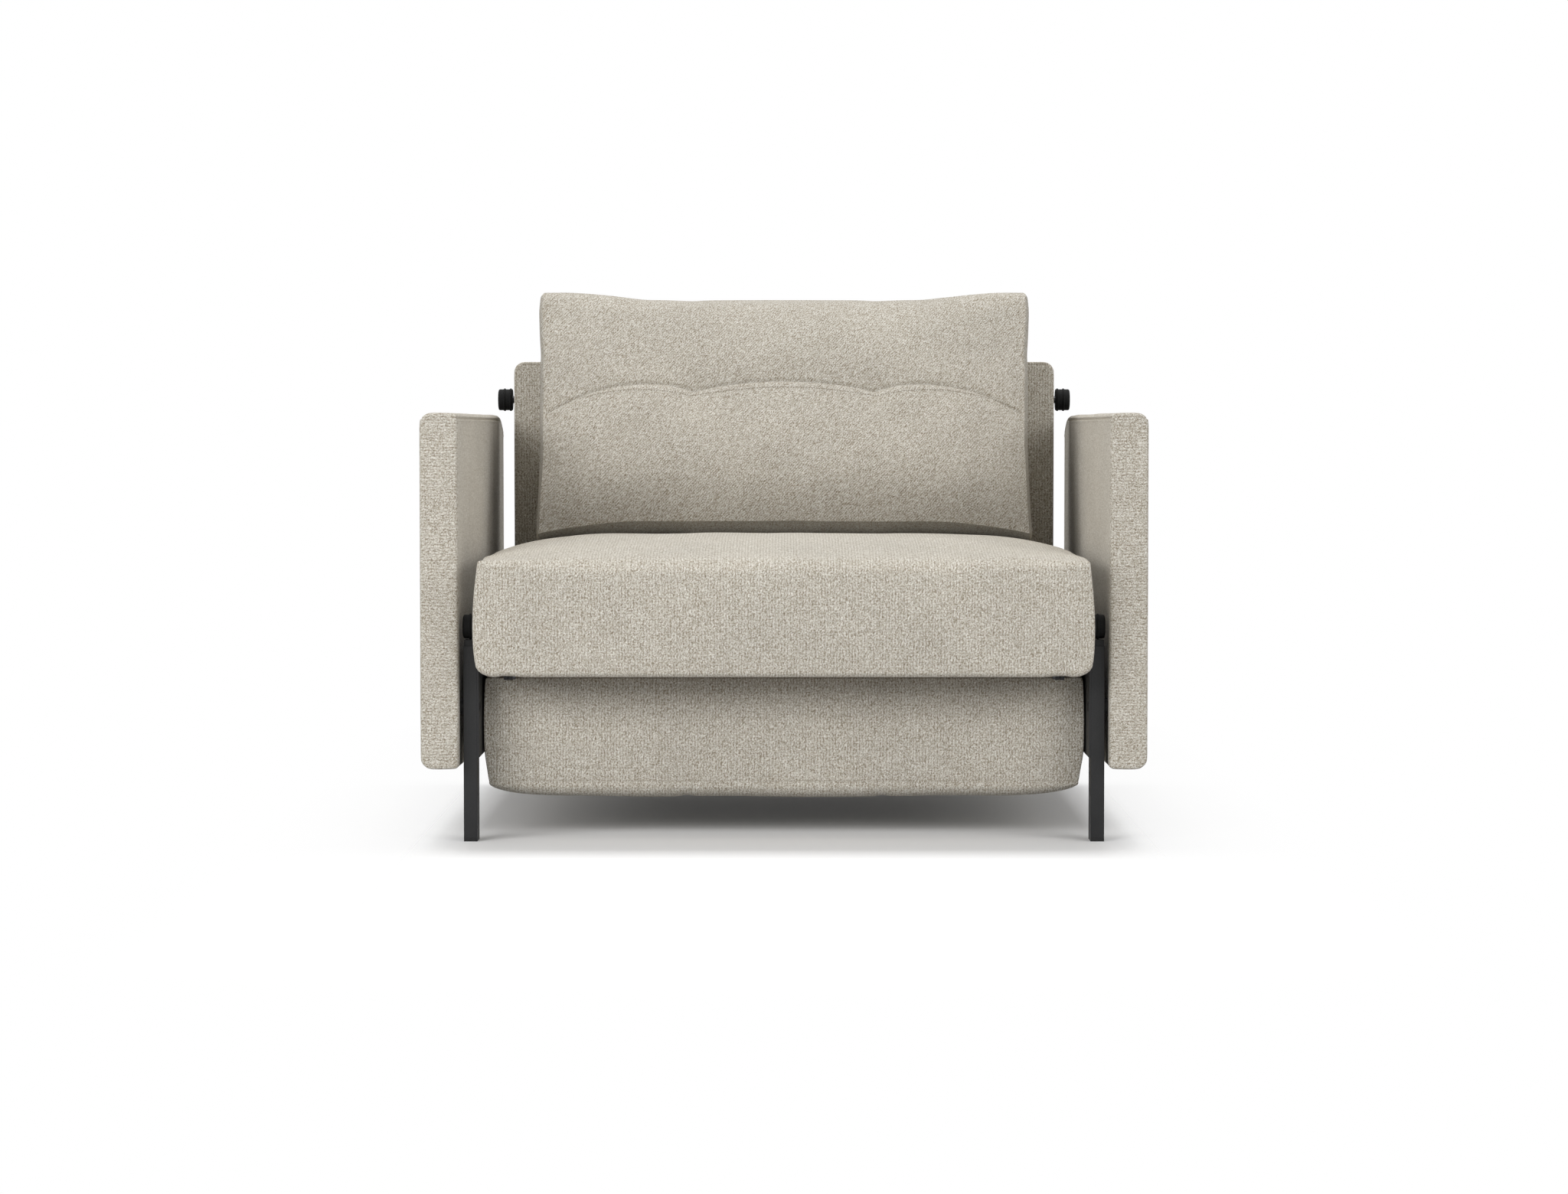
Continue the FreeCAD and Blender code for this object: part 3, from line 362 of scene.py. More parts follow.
def wood(name, pale, dark, along):
    """Planed wood with its grain along one axis."""
    paint = Paint(name, 0.6)
    stretch = [14.0 if axis == along else 1.0 for axis in range(3)]
    grain = paint.noise(0.006, 4.0, paint.turned((0, 0, 0), stretch))
    pores = paint.noise(0.0015, 2.0, paint.turned((0, 0, 0), stretch))
    mixed = paint.math("ADD", paint.math("MULTIPLY", grain, 0.75), paint.math("MULTIPLY", pores, 0.25))
    paint.colour(paint.ramp(mixed, [(0.32, dark), (0.68, pale)]))
    paint.rough(paint.span(grain, 0.5, 0.68, 0.3, 0.7))
    paint.bump(mixed, 0.0005)
    return paint.material


def board():
    paint = Paint("panel_board", 0.75)
    chips = paint.noise(0.004, 4.0)
    paint.colour(paint.ramp(chips, [(0.3, (0.20, 0.13, 0.075)), (0.7, (0.34, 0.24, 0.15))]))
    paint.bump(chips, 0.0004)
    return paint.material


def powder(name, dark, pale, roughness, edge):
    """Powder-coated steel with a fine orange-peel skin."""
    paint = Paint(name, roughness)
    paint.shader.inputs["Specular IOR Level"].default_value = 0.28
    skin = paint.noise(0.0011, 2.0)
    cloud = paint.noise(0.05, 2.0)
    mixed = paint.math("ADD", paint.math("MULTIPLY", skin, 0.5), paint.math("MULTIPLY", cloud, 0.5))
    paint.colour(paint.ramp(mixed, [(0.35, dark), (0.65, pale)]))
    paint.rough(paint.span(cloud, roughness - 0.05, roughness + 0.07, 0.3, 0.7))
    paint.bump(skin, 0.00012, 0.6, edge)
    return paint.material


# painted shade: the zinc is toned near black, standing in for the shade under the seat where its hinge parts
# show
def zinc():
    paint = Paint("zinc_steel", 0.45, 0.8)
    flake = paint.cells(0.006)[1]
    tones = [(0.3, (0.045, 0.045, 0.05)), (0.7, (0.085, 0.085, 0.09))]
    paint.colour(paint.ramp(paint.noise(0.01, 3.0), tones))
    split = paint.tree.nodes.new("ShaderNodeSeparateColor")
    paint.tree.links.new(flake, split.inputs[0])
    paint.rough(paint.span(split.outputs[0], 0.38, 0.52))
    paint.bump(paint.noise(0.002), 0.0001, 0.5, 0.0005)
    return paint.material


def plastic(name, dark, pale, roughness, grain):
    paint = Paint(name, roughness)
    paint.shader.inputs["Specular IOR Level"].default_value = 0.2
    spark = paint.noise(grain, 2.0)
    paint.colour(paint.ramp(paint.noise(0.03, 3.0), [(0.3, dark), (0.7, pale)]))
    paint.rough(paint.span(spark, roughness - 0.08, roughness + 0.08, 0.3, 0.7))
    paint.bump(spark, 0.0001, 0.6, 0.0006)
    return paint.material


FABRIC = tweed("upholstery", turn=(0, 22, 0), stretch=(1.0, 1.1, 1.5), row_turn=(0, 0, 0), pitch=0.0045,
               shares=(1.2, 0.4))
ARM_CLOTH = tweed("arm_cloth", turn=(0, 68, 0), stretch=(1.0, 1.1, 1.5), row_turn=(0, 0, 0), pitch=0.0045,
                  shares=(0.3, 1.2))
# The cushion has the same fabric as the seat; lift=0.87 is painted shade, 13 % darker overall, and the height
# span is painted shade toward its bottom seam above the seat.
CUSHION_CLOTH = tweed("cushion_cloth", turn=(0, -47, 0), stretch=(1.9, 1.1, 0.9), row_turn=(0, -47, 0),
                      pitch=0.0033, shares=(0.0, 1.5), lift=0.87, painted_shade=(0.463, 0.545, 0.76))
THREAD = thread("seam_thread", (0.36, 0.32, 0.25), (0.46, 0.42, 0.35))
DARK_THREAD = thread("welt_thread", (0.20, 0.165, 0.12), (0.33, 0.29, 0.225))
LINING = lining()
RAIL_WOOD = wood("frame_wood", (0.62, 0.45, 0.28), (0.45, 0.30, 0.17), 0)
SLAT_WOOD = wood("slat_wood", (0.72, 0.56, 0.38), (0.55, 0.40, 0.25), 0)
BLACK = powder("black_steel", (0.010, 0.010, 0.0105), (0.019, 0.019, 0.0195), 0.52, 0.0012)
NODE_PAINT = {
    "upholstery": FABRIC,
    "cushion_filling": plastic("cushion_filling", (0.75, 0.74, 0.71), (0.85, 0.84, 0.82), 0.9, 0.004),
    "frame_wood": RAIL_WOOD,
    "slat_wood": SLAT_WOOD,
    "panel_board": board(),
    "black_steel": BLACK,
    "zinc_steel": zinc(),
    "roller_rubber": plastic("roller_rubber", (0.003,) * 3, (0.006,) * 3, 0.75, 0.0012),
    "track_plastic": plastic("track_plastic", (0.008,) * 3, (0.016,) * 3, 0.45, 0.001),
    "cap_plastic": plastic("cap_plastic", (0.012,) * 3, (0.022,) * 3, 0.5, 0.001),
}


# ---------------------------------------------------------------- meshes
def lines(low, high, step, marks=(), offsets=(0.0, 0.0016, 0.0045)):
    """Grid places from low to high, with close ones beside each mark."""
    close = {round(mark + sign * off, 6) for mark in marks for off in offsets for sign in (-1, 1)}
    close = sorted(v for v in close if low < v < high)
    count = max(2, round((high - low) / step) + 1)
    base = [v for v in np.linspace(low, high, count)
            if v in (low, high) or all(abs(v - c) > step * 0.5 for c in close)]
    return np.array(sorted(set(base) | set(close)))


def grid(places, *extra):
    """Grid places with more of them, in order."""
    return np.array(sorted(set(np.asarray(places).tolist()).union(*extra)))


def mirrored(values):
    return {value * side for value in values for side in (-1, 1)}


def shell(xs, ys, zs):
    """The skin of a box of grid lines: its points and its faces."""
    on = np.zeros((len(xs), len(ys), len(zs)), bool)
    on[[0, -1]] = True
    on[:, [0, -1]] = True
    on[:, :, [0, -1]] = True
    index = np.full(on.shape, -1)
    index[on] = np.arange(on.sum())
    i, j, k = np.nonzero(on)
    faces = []
    for axis in range(3):
        for end in (0, -1):
            slab = index.take(end, axis=axis)
            quads = np.stack([slab[:-1, :-1], slab[1:, :-1], slab[1:, 1:], slab[:-1, 1:]], -1).reshape(-1, 4)
            outward = (end == -1) == (axis != 1)
            faces.append(quads if outward else quads[:, ::-1])
    return np.stack([xs[i], ys[j], zs[k]], 1), np.concatenate(faces)


def rounded(points, low, high, corners, edge, along):
    """Round a block: four long corners, each with its own radius, and the rims of the two end faces."""
    p = points.copy()
    first, second = [axis for axis in range(3) if axis != along]
    mid = (low + high) / 2
    half = (high - low) / 2
    side = np.where(p >= mid, 1.0, -1.0)
    near = half - np.abs(p - mid)
    radius = np.select(
        [(side[:, first] < 0) & (side[:, second] < 0), (side[:, first] > 0) & (side[:, second] < 0),
         (side[:, first] > 0) & (side[:, second] > 0)], corners[:3], corners[3])
    da, db = radius - near[:, first], radius - near[:, second]
    inside = (da > 0) & (db > 0)
    most, length = np.maximum(da, db), np.maximum(np.hypot(da, db), 1e-9)
    shrink = np.where(inside, most / length, 1)
    for axis, into in ((first, da), (second, db)):
        turned = mid[axis] + side[:, axis] * (half[axis] - radius + into * shrink)
        p[:, axis] = np.where(inside, turned, p[:, axis])
    by_first = near[:, first] < near[:, second]
    normal_a = np.where(inside, side[:, first] * da / length, np.where(by_first, side[:, first], 0))
    normal_b = np.where(inside, side[:, second] * db / length, np.where(by_first, 0, side[:, second]))
    depth = np.where(inside, radius - most, np.minimum(near[:, first], near[:, second]))
    back = near[:, along]
    dt, ds = np.maximum(edge - depth, 0), np.maximum(edge - back, 0)
    rim = (dt > 0) & (ds > 0)
    reach = np.maximum(np.hypot(dt, ds), 1e-9)
    move = np.where(rim, edge - edge * dt / reach - depth, 0)
    p[:, first] -= normal_a * move
    p[:, second] -= normal_b * move
    eased = mid[along] + side[:, along] * (half[along] - edge + edge * ds / reach)
    p[:, along] = np.where(rim, eased, p[:, along])
    return p


def build(name, points, faces, materials, index=None):
    mesh = bpy.data.meshes.new(name)
    mesh.from_pydata(points.tolist(), [], faces.tolist())
    for material in materials:
        mesh.materials.append(material)
    if index is not None:
        mesh.polygons.foreach_set("material_index", index.astype(np.int32))
    mesh.polygons.foreach_set("use_smooth", np.ones(len(faces), bool))
    mesh.update()
    piece = bpy.data.objects.new(name, mesh)
    scene.collection.objects.link(piece)
    return piece


def coords(mesh):
    out = np.zeros(len(mesh.vertices) * 3, np.float32)
    mesh.vertices.foreach_get("co", out)
    return out.reshape(-1, 3).astype(float)


def normals(mesh):
    out = np.zeros(len(mesh.vertices) * 3, np.float32)
    mesh.vertex_normals.foreach_get("vector", out)
    return out.reshape(-1, 3).astype(float)


def put(mesh, points):
    mesh.vertices.foreach_set("co", points.astype(np.float32).ravel())
    mesh.update()


def swell(x, sharp=2.0):
    """1 in the middle of -1..1 and 0 at its ends."""
    return 1 - np.minimum(np.abs(x), 1) ** sharp


def ease(x):
    x = np.clip(x, 0, 1)
    return x * x * (3 - 2 * x)


def bell(x, width):
    return np.exp(-(x / width) ** 2)


WAVE_COUNT = 7


def waves(points, size, amount, seed):
    """A soft unevenness of a stuffed surface, the same on every run."""
    rng = np.random.default_rng(seed)
    total = np.zeros(len(points))
    for _ in range(WAVE_COUNT):
        way = rng.normal(size=3)
        way /= np.linalg.norm(way)
        pace = 2 * math.pi / (size * rng.uniform(0.7, 1.5))
        total += np.sin(points @ way * pace + rng.uniform(0, 6.28))
    return total * amount / (WAVE_COUNT / 2)


CLOTH_FRAMES = 20


def settle(piece, held, cap, pressure):
    """Fill the piece with air as cloth, without gravity or collision, and keep where it comes to.
    No point ends further than cap from its start."""
    start = coords(piece.data)
    group = piece.vertex_groups.new(name="held")
    for weight in np.unique(held[held > 0]):
        group.add(np.nonzero(held == weight)[0].tolist(), float(weight), "REPLACE")
    cloth = piece.modifiers.new("Cloth", "CLOTH")
    work = cloth.settings
    work.quality = 5
    work.mass = 0.3
    work.tension_stiffness = work.compression_stiffness = 18
    work.shear_stiffness = 8
    work.bending_stiffness = 0.8
    work.use_pressure = True
    work.uniform_pressure_force = pressure
    work.effector_weights.gravity = 0
    work.vertex_group_mass = "held"
    cloth.collision_settings.use_collision = False
    cloth.point_cache.frame_start, cloth.point_cache.frame_end = 1, CLOTH_FRAMES
    for number in range(1, CLOTH_FRAMES + 1):
        scene.frame_set(number)
    done = piece.evaluated_get(bpy.context.evaluated_depsgraph_get())
    moved = coords(done.data) - start
    piece.modifiers.remove(cloth)
    piece.vertex_groups.clear()
    scene.frame_set(1)
    length = np.maximum(np.linalg.norm(moved, axis=1, keepdims=True), 1e-9)
    put(piece.data, start + moved / length * cap * np.tanh(length / cap))


def divide(piece):
    """Subdivide a piece and keep the finer mesh."""
    smooth = piece.modifiers.new("finer", "SUBSURF")
    smooth.levels = smooth.render_levels = 1
    smooth.boundary_smooth = "PRESERVE_CORNERS"
    done = piece.evaluated_get(bpy.context.evaluated_depsgraph_get())
    mesh = bpy.data.meshes.new_from_object(done)
    piece.modifiers.remove(smooth)
    old = piece.data
    piece.data = mesh
    bpy.data.meshes.remove(old)
    mesh.name = piece.name
    mesh.polygons.foreach_set("use_smooth", np.ones(len(mesh.polygons), bool))


def press(piece, away, depth, width, lip=0.0):
    """Sink a seam into the skin: away is each point's distance from it."""
    mesh = piece.data
    sink = -depth * bell(away, width) + lip * bell(np.abs(away) - 2.3 * width, width)
    put(mesh, coords(mesh) + normals(mesh) * sink[:, None])


def dress(piece, body, *gone, fill):
    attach(piece, body)
    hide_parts(*gone)


STITCH_RADIUS = 0.00055
STITCH_RINGS = ((-0.5, 0.35), (-0.3, 1.0), (0.3, 1.0), (0.5, 0.35))  # place along it, share of its radius


def stitches(name, piece, route, toward, body, pitch=0.0046, length=0.0030, yarn=None):
    """A row of stitches along a route, dropped onto the piece along one direction where its skin faces it."""
    done = piece.evaluated_get(bpy.context.evaluated_depsgraph_get())
    tree = BVHTree.FromObject(done, bpy.context.evaluated_depsgraph_get())
    route = np.array(route, float)
    run = np.concatenate([[0], np.cumsum(np.linalg.norm(np.diff(route, axis=0), axis=1))])
    places = np.arange(pitch, run[-1] - pitch, pitch)
    spots = np.stack([np.interp(places, run, route[:, axis]) for axis in range(3)], 1)
    verts, faces = [], []
    around = 6
    hits = [tree.ray_cast(Vector(spot), Vector(toward))[:2] for spot in spots]
    for number in range(1, len(hits) - 1):
        (hit, normal), before, after = hits[number], hits[number - 1][0], hits[number + 1][0]
        if hit is None or before is None or after is None or normal.dot(Vector(toward)) > -0.5:
            continue
        along = (after - before).normalized()
        out = (normal - along * normal.dot(along)).normalized()
        across = along.cross(out)
        base = len(verts)
        centre = hit + out * STITCH_RADIUS * 0.35
        for t, r in STITCH_RINGS:
            for turn in range(around):
                angle = 2 * math.pi * turn / around
                round_it = (out * math.sin(angle) + across * math.cos(angle)) * r * STITCH_RADIUS
                verts.append(centre + along * t * length + round_it)
        for ring in range(3):
            for turn in range(around):
                nxt = (turn + 1) % around
                faces.append((base + ring * around + turn, base + ring * around + nxt,
                              base + (ring + 1) * around + nxt, base + (ring + 1) * around + turn))
        faces.append(tuple(base + turn for turn in reversed(range(around))))
        faces.append(tuple(base + 3 * around + turn for turn in range(around)))
    mesh = bpy.data.meshes.new(name)
    mesh.from_pydata([tuple(v) for v in verts], [], faces)
    mesh.polygons.foreach_set("use_smooth", np.ones(len(faces), bool))
    mesh.materials.append(yarn or THREAD)
    row = bpy.data.objects.new(name, mesh)
    scene.collection.objects.link(row)
    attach(row, body)


# ---------------------------------------------------------------- seat and foot section
SEAT_MID, SEAT_REACH, SEAT_CROWN = 0.3645, 0.3575, 0.0295
SEAT_LOW, SEAT_HIGH = np.array([-0.450, 0.008, 0.250]), np.array([0.450, 0.719, 0.420])
FOOT_LOW, FOOT_HIGH = np.array([-0.449, 0.134, 0.080]), np.array([0.449, 0.896, 0.240])
COLUMN = 0.150  # the pulled-in columns, left and right of the middle
CUT = 0.0005


def lined(name, points, faces, hollow):
    """Build an open upholstered frame: cloth outside, lining inside and wood where the cloth ends."""
    inner = hollow[faces]
    index = np.where(inner.all(1), 1, np.where(inner.any(1), 2, 0))
    return build(name, points, faces, (FABRIC, LINING, RAIL_WOOD), index)


def seat_top(x, u):
    """The height of the seat's crowned top."""
    rise = SEAT_CROWN * swell(x / 0.450, 6) * swell((u - SEAT_MID) / SEAT_REACH, 2.4)
    groove = 0.0022 * (bell(x - COLUMN, 0.012) + bell(x + COLUMN, 0.012))
    return 0.420 + rise - groove * ease((u - 0.35) / 0.3)


def make_seat():
    rail_x, rail_front, rail_rear, ceiling = 0.415, 0.038, 0.690, 0.3425
    seam_level = 0.2595
    rims = mirrored((0.4485, 0.446, 0.441, 0.434, 0.424, rail_x, rail_x - 0.001))
    xs = grid(lines(-0.450, 0.450, 0.0085, (-COLUMN, COLUMN), (0.0, 0.004)), rims)
    ys = grid(lines(0.008, 0.719, 0.0085),
              {0.0095, 0.012, 0.016, 0.021, 0.027, rail_front, rail_front + 0.001},
              {rail_rear - 0.001, rail_rear, 0.700, 0.706, 0.711, 0.715, 0.7175})
    zs = grid(lines(0.250, 0.420, 0.0075, (seam_level,), (0.0, 0.0016, 0.0036)),
              {0.2506, 0.2515, 0.253, 0.4185, 0.416, 0.412, 0.407, 0.401})
    q, faces = shell(xs, ys, zs)
    x, u, z = q.T
    middle = swell(x / 0.450, 8)
    top_front = 0.005 + 0.019 * middle
    top_rear = 0.005 + 0.015 * middle
    small = np.full(len(q), 0.004)
    p = rounded(q, SEAT_LOW, SEAT_HIGH, [small * 2.2, small, top_rear, top_front], 0.004, 0)
    up = np.clip((z - 0.250) / 0.170, 0, 1)
    rise = seat_top(p[:, 0], p[:, 1]) - 0.420
    p[:, 2] += rise * ease((z - 0.330) / 0.090)
    bow = np.sin(math.pi * up) * np.where(up < 0.5, 1, 0.86 + 0.14 * np.sin(math.pi * up))
    p[:, 1] -= 0.008 * bow * swell(x / 0.450, 14) * bell(u - 0.008, 0.030)
    p[:, 1] += 0.003 * bow * bell(u - 0.719, 0.030)
    front = 1 - ease((u - 0.030) / 0.032)
    flare = (0.0057 * np.sin(math.pi * up ** 0.9) + 0.0025 * (1 - up)) * front
    p[:, 0] += np.sign(x) * flare * ease((np.abs(x) - 0.40) / 0.05)
    corner = np.clip((np.abs(x) - 0.424) / 0.026, 0, 1) ** 2
    arm_way = ease((np.abs(np.abs(x) - 0.405) - 0.008) / 0.010)  # 0 where the foot section's hinge arms pass
    lift = (0.0115 * corner - 0.002 * arm_way) * (1 - ease((z - 0.250) / 0.040))
    p[:, 2] += lift * (1 - ease((u - 0.060) / 0.030))
    hollow = (z <= 0.2501) & (np.abs(x) < rail_x - CUT) & (u > rail_front + CUT) & (u < rail_rear - CUT)
    p[hollow, 2] = ceiling
    p[:, 1] += FORE
    seat = lined("seat_upholstery", p, faces, hollow)
    n = normals(seat.data)
    soft = ease((z - 0.33) / 0.06) + bell(u - 0.008, 0.02) * 0.6 * ease((z - 0.262) / 0.030)
    put(seat.data, coords(seat.data) + n * (waves(p, 0.13, 0.0012, 3) * soft)[:, None])
    seam = np.where((n[:, 2] > -0.5) & ~hollow, z - seam_level, 1)
    press(seat, seam, 0.0005, 0.0013, 0.0003)
    divide(seat)
    dress(seat, "seat_section", "seat_mattress", "seat_front_rail", "seat_rear_rail", "left_seat_rail",
          "right_seat_rail", fill=0.9)


def make_foot():
    rail_x, rail_front, rail_rear, ceiling = 0.414, 0.165, 0.865, 0.1575
    seam_level = 0.0835
    rims = mirrored((0.4475, 0.445, 0.440, 0.433, 0.424, rail_x, rail_x - 0.001))
    xs = grid(lines(-0.449, 0.449, 0.0085, (-COLUMN, COLUMN), (0.0, 0.004)), rims)
    ys = grid(lines(0.134, 0.896, 0.0085),
              {0.1355, 0.138, 0.142, 0.147, 0.153, rail_front, rail_front + 0.001},
              {rail_rear - 0.001, rail_rear, 0.877, 0.883, 0.888, 0.892, 0.8945})
    zs = lines(0.080, 0.240, 0.0075, (seam_level,), (0.0, 0.0016))
    q, faces = shell(xs, ys, zs)
    x, u, z = q.T
    small = np.full(len(q), 0.003)
    p = rounded(q, FOOT_LOW, FOOT_HIGH, [small] * 4, 0.003, 0)
    down = np.clip((0.240 - z) / 0.160, 0, 1)
    across = swell(p[:, 0] / 0.449, 7)
    ends = np.minimum(p[:, 1] - 0.134, 0.896 - p[:, 1])
    roll = np.sqrt(np.clip(1 - (1 - np.clip(ends / 0.026, 0, 1)) ** 2, 0, 1))
    dome = 0.0205 * roll * np.sqrt(np.clip(across, 0, 1))
    dome = dome + 0.004 * across * swell((p[:, 1] - 0.515) / 0.381)
    groove = 0.0022 * (bell(p[:, 0] - 0.147, 0.010) + bell(p[:, 0] + 0.147, 0.010)) * roll
    p[:, 2] -= (dome - groove) * ease((0.105 - z) / 0.025)
    bow = np.sin(math.pi * down)
    p[:, 1] -= 0.004 * bow * bell(u - 0.134, 0.030)
    p[:, 1] += 0.004 * bow * bell(u - 0.896, 0.030)
    pull = ease((0.150 - z) / 0.070)
    p[:, 0] -= np.sign(x) * (0.0055 * pull ** 1.4) * ease((np.abs(x) - 0.38) / 0.069)
    p[:, 0] += np.sign(x) * 0.0022 * np.sin(math.pi * down ** 0.8) * ease((np.abs(x) - 0.40) / 0.049)
    hollow = (z >= 0.2399) & (np.abs(x) < rail_x - CUT) & (u > rail_front + CUT) & (u < rail_rear - CUT)
    p[hollow, 2] = ceiling
    p[:, 1] += FORE
    foot = lined("foot_upholstery", p, faces, hollow)
    n = normals(foot.data)
    soft = ease((0.158 - z) / 0.06)
    put(foot.data, coords(foot.data) + n * (waves(p, 0.14, 0.0010, 8) * soft)[:, None])
    seam = np.where((n[:, 2] < 0.5) & ~hollow, z - seam_level, 1)
    press(foot, seam, 0.0009, 0.0013, 0.0004)
    divide(foot)
    dress(foot, "foot_section", "foot_mattress", "foot_hinge_rail", "foot_end_rail", "left_foot_rail",
          "right_foot_rail", fill=0.9)
    route = [(px, FORE + 0.05, 0.0850) for px in np.linspace(-0.435, 0.435, 200)]
    stitches("foot_front_stitches", foot, route, (0, 1, 0), "foot_section")


# ---------------------------------------------------------------- back section
def make_back():
    half, head, head_radius = 0.448, 0.725, 0.018
    low, high = np.array([-half, 0.744, 0.252]), np.array([half, 0.874, head])
    xs = grid(lines(-half, half, 0.011), mirrored((0.4475, 0.4460, 0.4435, 0.439, 0.433, 0.427)))
    ys = np.array([0.744, 0.7447, 0.7462, 0.749, 0.754, 0.762, 0.772, 0.784, 0.800, 0.818, 0.834, 0.844,
                   0.852, 0.860, 0.866, 0.870, 0.8725, 0.8735, 0.874])
    zs = grid(lines(0.252, head, 0.011),
              {0.254, 0.257, 0.262, 0.268, 0.275, 0.284, 0.7245, 0.723, 0.7205, 0.716, 0.710, 0.704})
    q, faces = shell(xs, ys, zs)
    x, u, z = q.T
    foot_round, head_round = np.full(len(q), 0.010), np.full(len(q), head_radius)
    p = rounded(q, low, high, [foot_round, foot_round, head_round, head_round], 0.0045, 1)
    fore = np.clip((0.800 - u) / 0.056, 0, 1)
    p[:, 1] -= 0.005 * swell((z - 0.4885) / 0.2365, 2) * swell(x / half, 6) * ease(fore)
    for start, radius, way in ((0.292, 0.040, ease(fore)), (0.282, 0.030, -ease((u - 0.800) / 0.074))):
        share = np.clip((start - p[:, 2]) / radius, 0, 1)
        p[:, 1] += (radius - np.sqrt(np.clip(radius ** 2 - (radius * share) ** 2, 0, None))) * way
    p[:, 1] += FORE
    back = build("back_upholstery", p, faces, (FABRIC,))
    nn = normals(back.data)
    put(back.data, coords(back.data) + nn * (waves(p, 0.15, 0.0007, 5) * np.abs(nn[:, 1]))[:, None])
    divide(back)
    border = np.minimum(half - np.abs(coords(back.data)[:, 0]), head - coords(back.data)[:, 2])
    face = np.where(normals(back.data)[:, 1] < -0.6, border - 0.0048, 1)
    press(back, face, 0.0009, 0.0013, 0.0004)
    dress(back, "back_section", "back_pad", "back_bottom_rail", "back_top_rail", "left_back_rail",
          "right_back_rail", "back_panel", fill=0.9)
    turn = 0.0132
    corner = [(-half + head_radius - turn * math.cos(a), head - head_radius + turn * math.sin(a))
              for a in np.linspace(0, math.pi / 2, 12)]
    left = [(-0.4432, h) for h in np.linspace(0.300, 0.705, 60)] + corner
    outline = left + [(-px, h) for px, h in reversed(left)]
    stitches("back_stitches", back, [(px, FORE + 0.60, h) for px, h in outline], (0, 1, 0), "back_section")


# ---------------------------------------------------------------- arms
def rear_fall(u):
    """How far the arm's top has come down toward its rear end."""
    return 0.027 * np.clip((u - 0.865) / 0.105, 0, 1) ** 2.2


def make_arm(label, side):
    inner, outer = 0.482, 0.538
    low = np.array([min(side * inner, side * outer), 0.050, 0.110])
    high = np.array([max(side * inner, side * outer), 0.970, 0.636])
    near = [0.4823, 0.483, 0.4845, 0.4870, 0.4900, 0.494, 0.500, 0.506, 0.512, 0.518, 0.523, 0.528, 0.532,
            0.535, 0.5368, 0.5376]
    xs = np.array(sorted(side * v for v in near + [inner, outer]))
    ys = grid(lines(0.050, 0.970, 0.0115),
              {0.0505, 0.0515, 0.053, 0.055, 0.058, 0.063, 0.967, 0.965, 0.962, 0.957, 0.9685, 0.9695})
    zs = grid(lines(0.110, 0.636, 0.0115, (0.6295,), (0.0, 0.0015)),
              {0.1105, 0.112, 0.114, 0.117, 0.121, 0.126, 0.6355, 0.634, 0.632, 0.629, 0.625, 0.620, 0.615})
    q, faces = shell(xs, ys, zs)
    x, u, z = q.T
    small, large = np.full(len(q), 0.006), np.full(len(q), 0.016)
    order = [large, small, small, large] if side < 0 else [small, large, large, small]
    p = rounded(q, low, high, order, 0.005, 1)
    across = (np.abs(x) - 0.510) / 0.028
    tall = swell((z - 0.373) / 0.263, 4)
    long = swell((u - 0.510) / 0.460, 6)
    p[:, 0] += side * np.clip(across, 0, 1) * 0.0015 * tall * long
    crown = 0.0012 * swell(across, 2) * np.where(z > 0.373, 1, -1)
    p[:, 2] += crown * ease((np.abs(z - 0.373) - 0.2) / 0.06)
    p[:, 2] -= rear_fall(u) * ease((z - 0.46) / 0.17)
    p[:, 1] += FORE
    arm = build(f"{label}_arm_upholstery", p, faces, (ARM_CLOTH,))
    nn = normals(arm.data)
    rolled = coords(arm.data) + nn * (waves(p, 0.12, 0.0008, 11 + side) * long)[:, None]
    rolled[:, 0] = side * np.maximum(side * rolled[:, 0], inner)
    put(arm.data, rolled)
    divide(arm)
    co, nn = coords(arm.data), normals(arm.data)
    seam = np.where(np.abs(nn[:, 0]) > 0.75, co[:, 2] + rear_fall(co[:, 1] - FORE) - 0.6292, 1)
    press(arm, seam, 0.0009, 0.0013, 0.0005)
    co, nn = coords(arm.data), normals(arm.data)
    rim = np.where(np.abs(nn[:, 0]) > 0.75, np.abs(co[:, 1] - FORE - 0.0575), 1)
    press(arm, rim, 0.0007, 0.0012, 0.0004)
    dress(arm, "base", f"{label}_arm_pad", fill=1.0)
    for where, from_x, way in (("inner", side * 0.40, side), ("outer", side * 0.60, -side)):
        route = [(from_x, FORE + v, 0.6283 - rear_fall(v)) for v in np.linspace(0.058, 0.960, 200)]
        stitches(f"{label}_arm_{where}_stitches", arm, route, (way, 0, 0), "base")


# ---------------------------------------------------------------- back cushion
TUFT = 0.150
CUSHION_FRONT, CUSHION_REAR, CUSHION_HALF = 0.529, 0.7370, 0.401


def seam_height(x):
    """The front bottom seam: level in the middle, dropping to the corners."""
    return 0.4655 - 0.0195 * np.clip((np.abs(x) - 0.215) / 0.186, 0, 1) ** 2


def crest_height(x):
    """The top edge: low in the middle, rising to an ear at each corner."""
    return 0.8292 + 0.0090 * ease((np.abs(x) - 0.215) / 0.145) - 0.0014 * bell(np.abs(x) - 0.156, 0.020)


def welt_height(x):
    """The curved seam across the front, caught down at the two tufts."""
    inside = 0.6668 + 0.0145 * np.sin(math.pi * np.clip((x + TUFT) / (2 * TUFT), 0, 1))
    line = np.polyfit([TUFT, 0.243, 0.393], [0.6668, 0.6768, 0.6385], 2)
    return np.where(np.abs(x) < TUFT, inside, np.polyval(line, np.abs(x)))


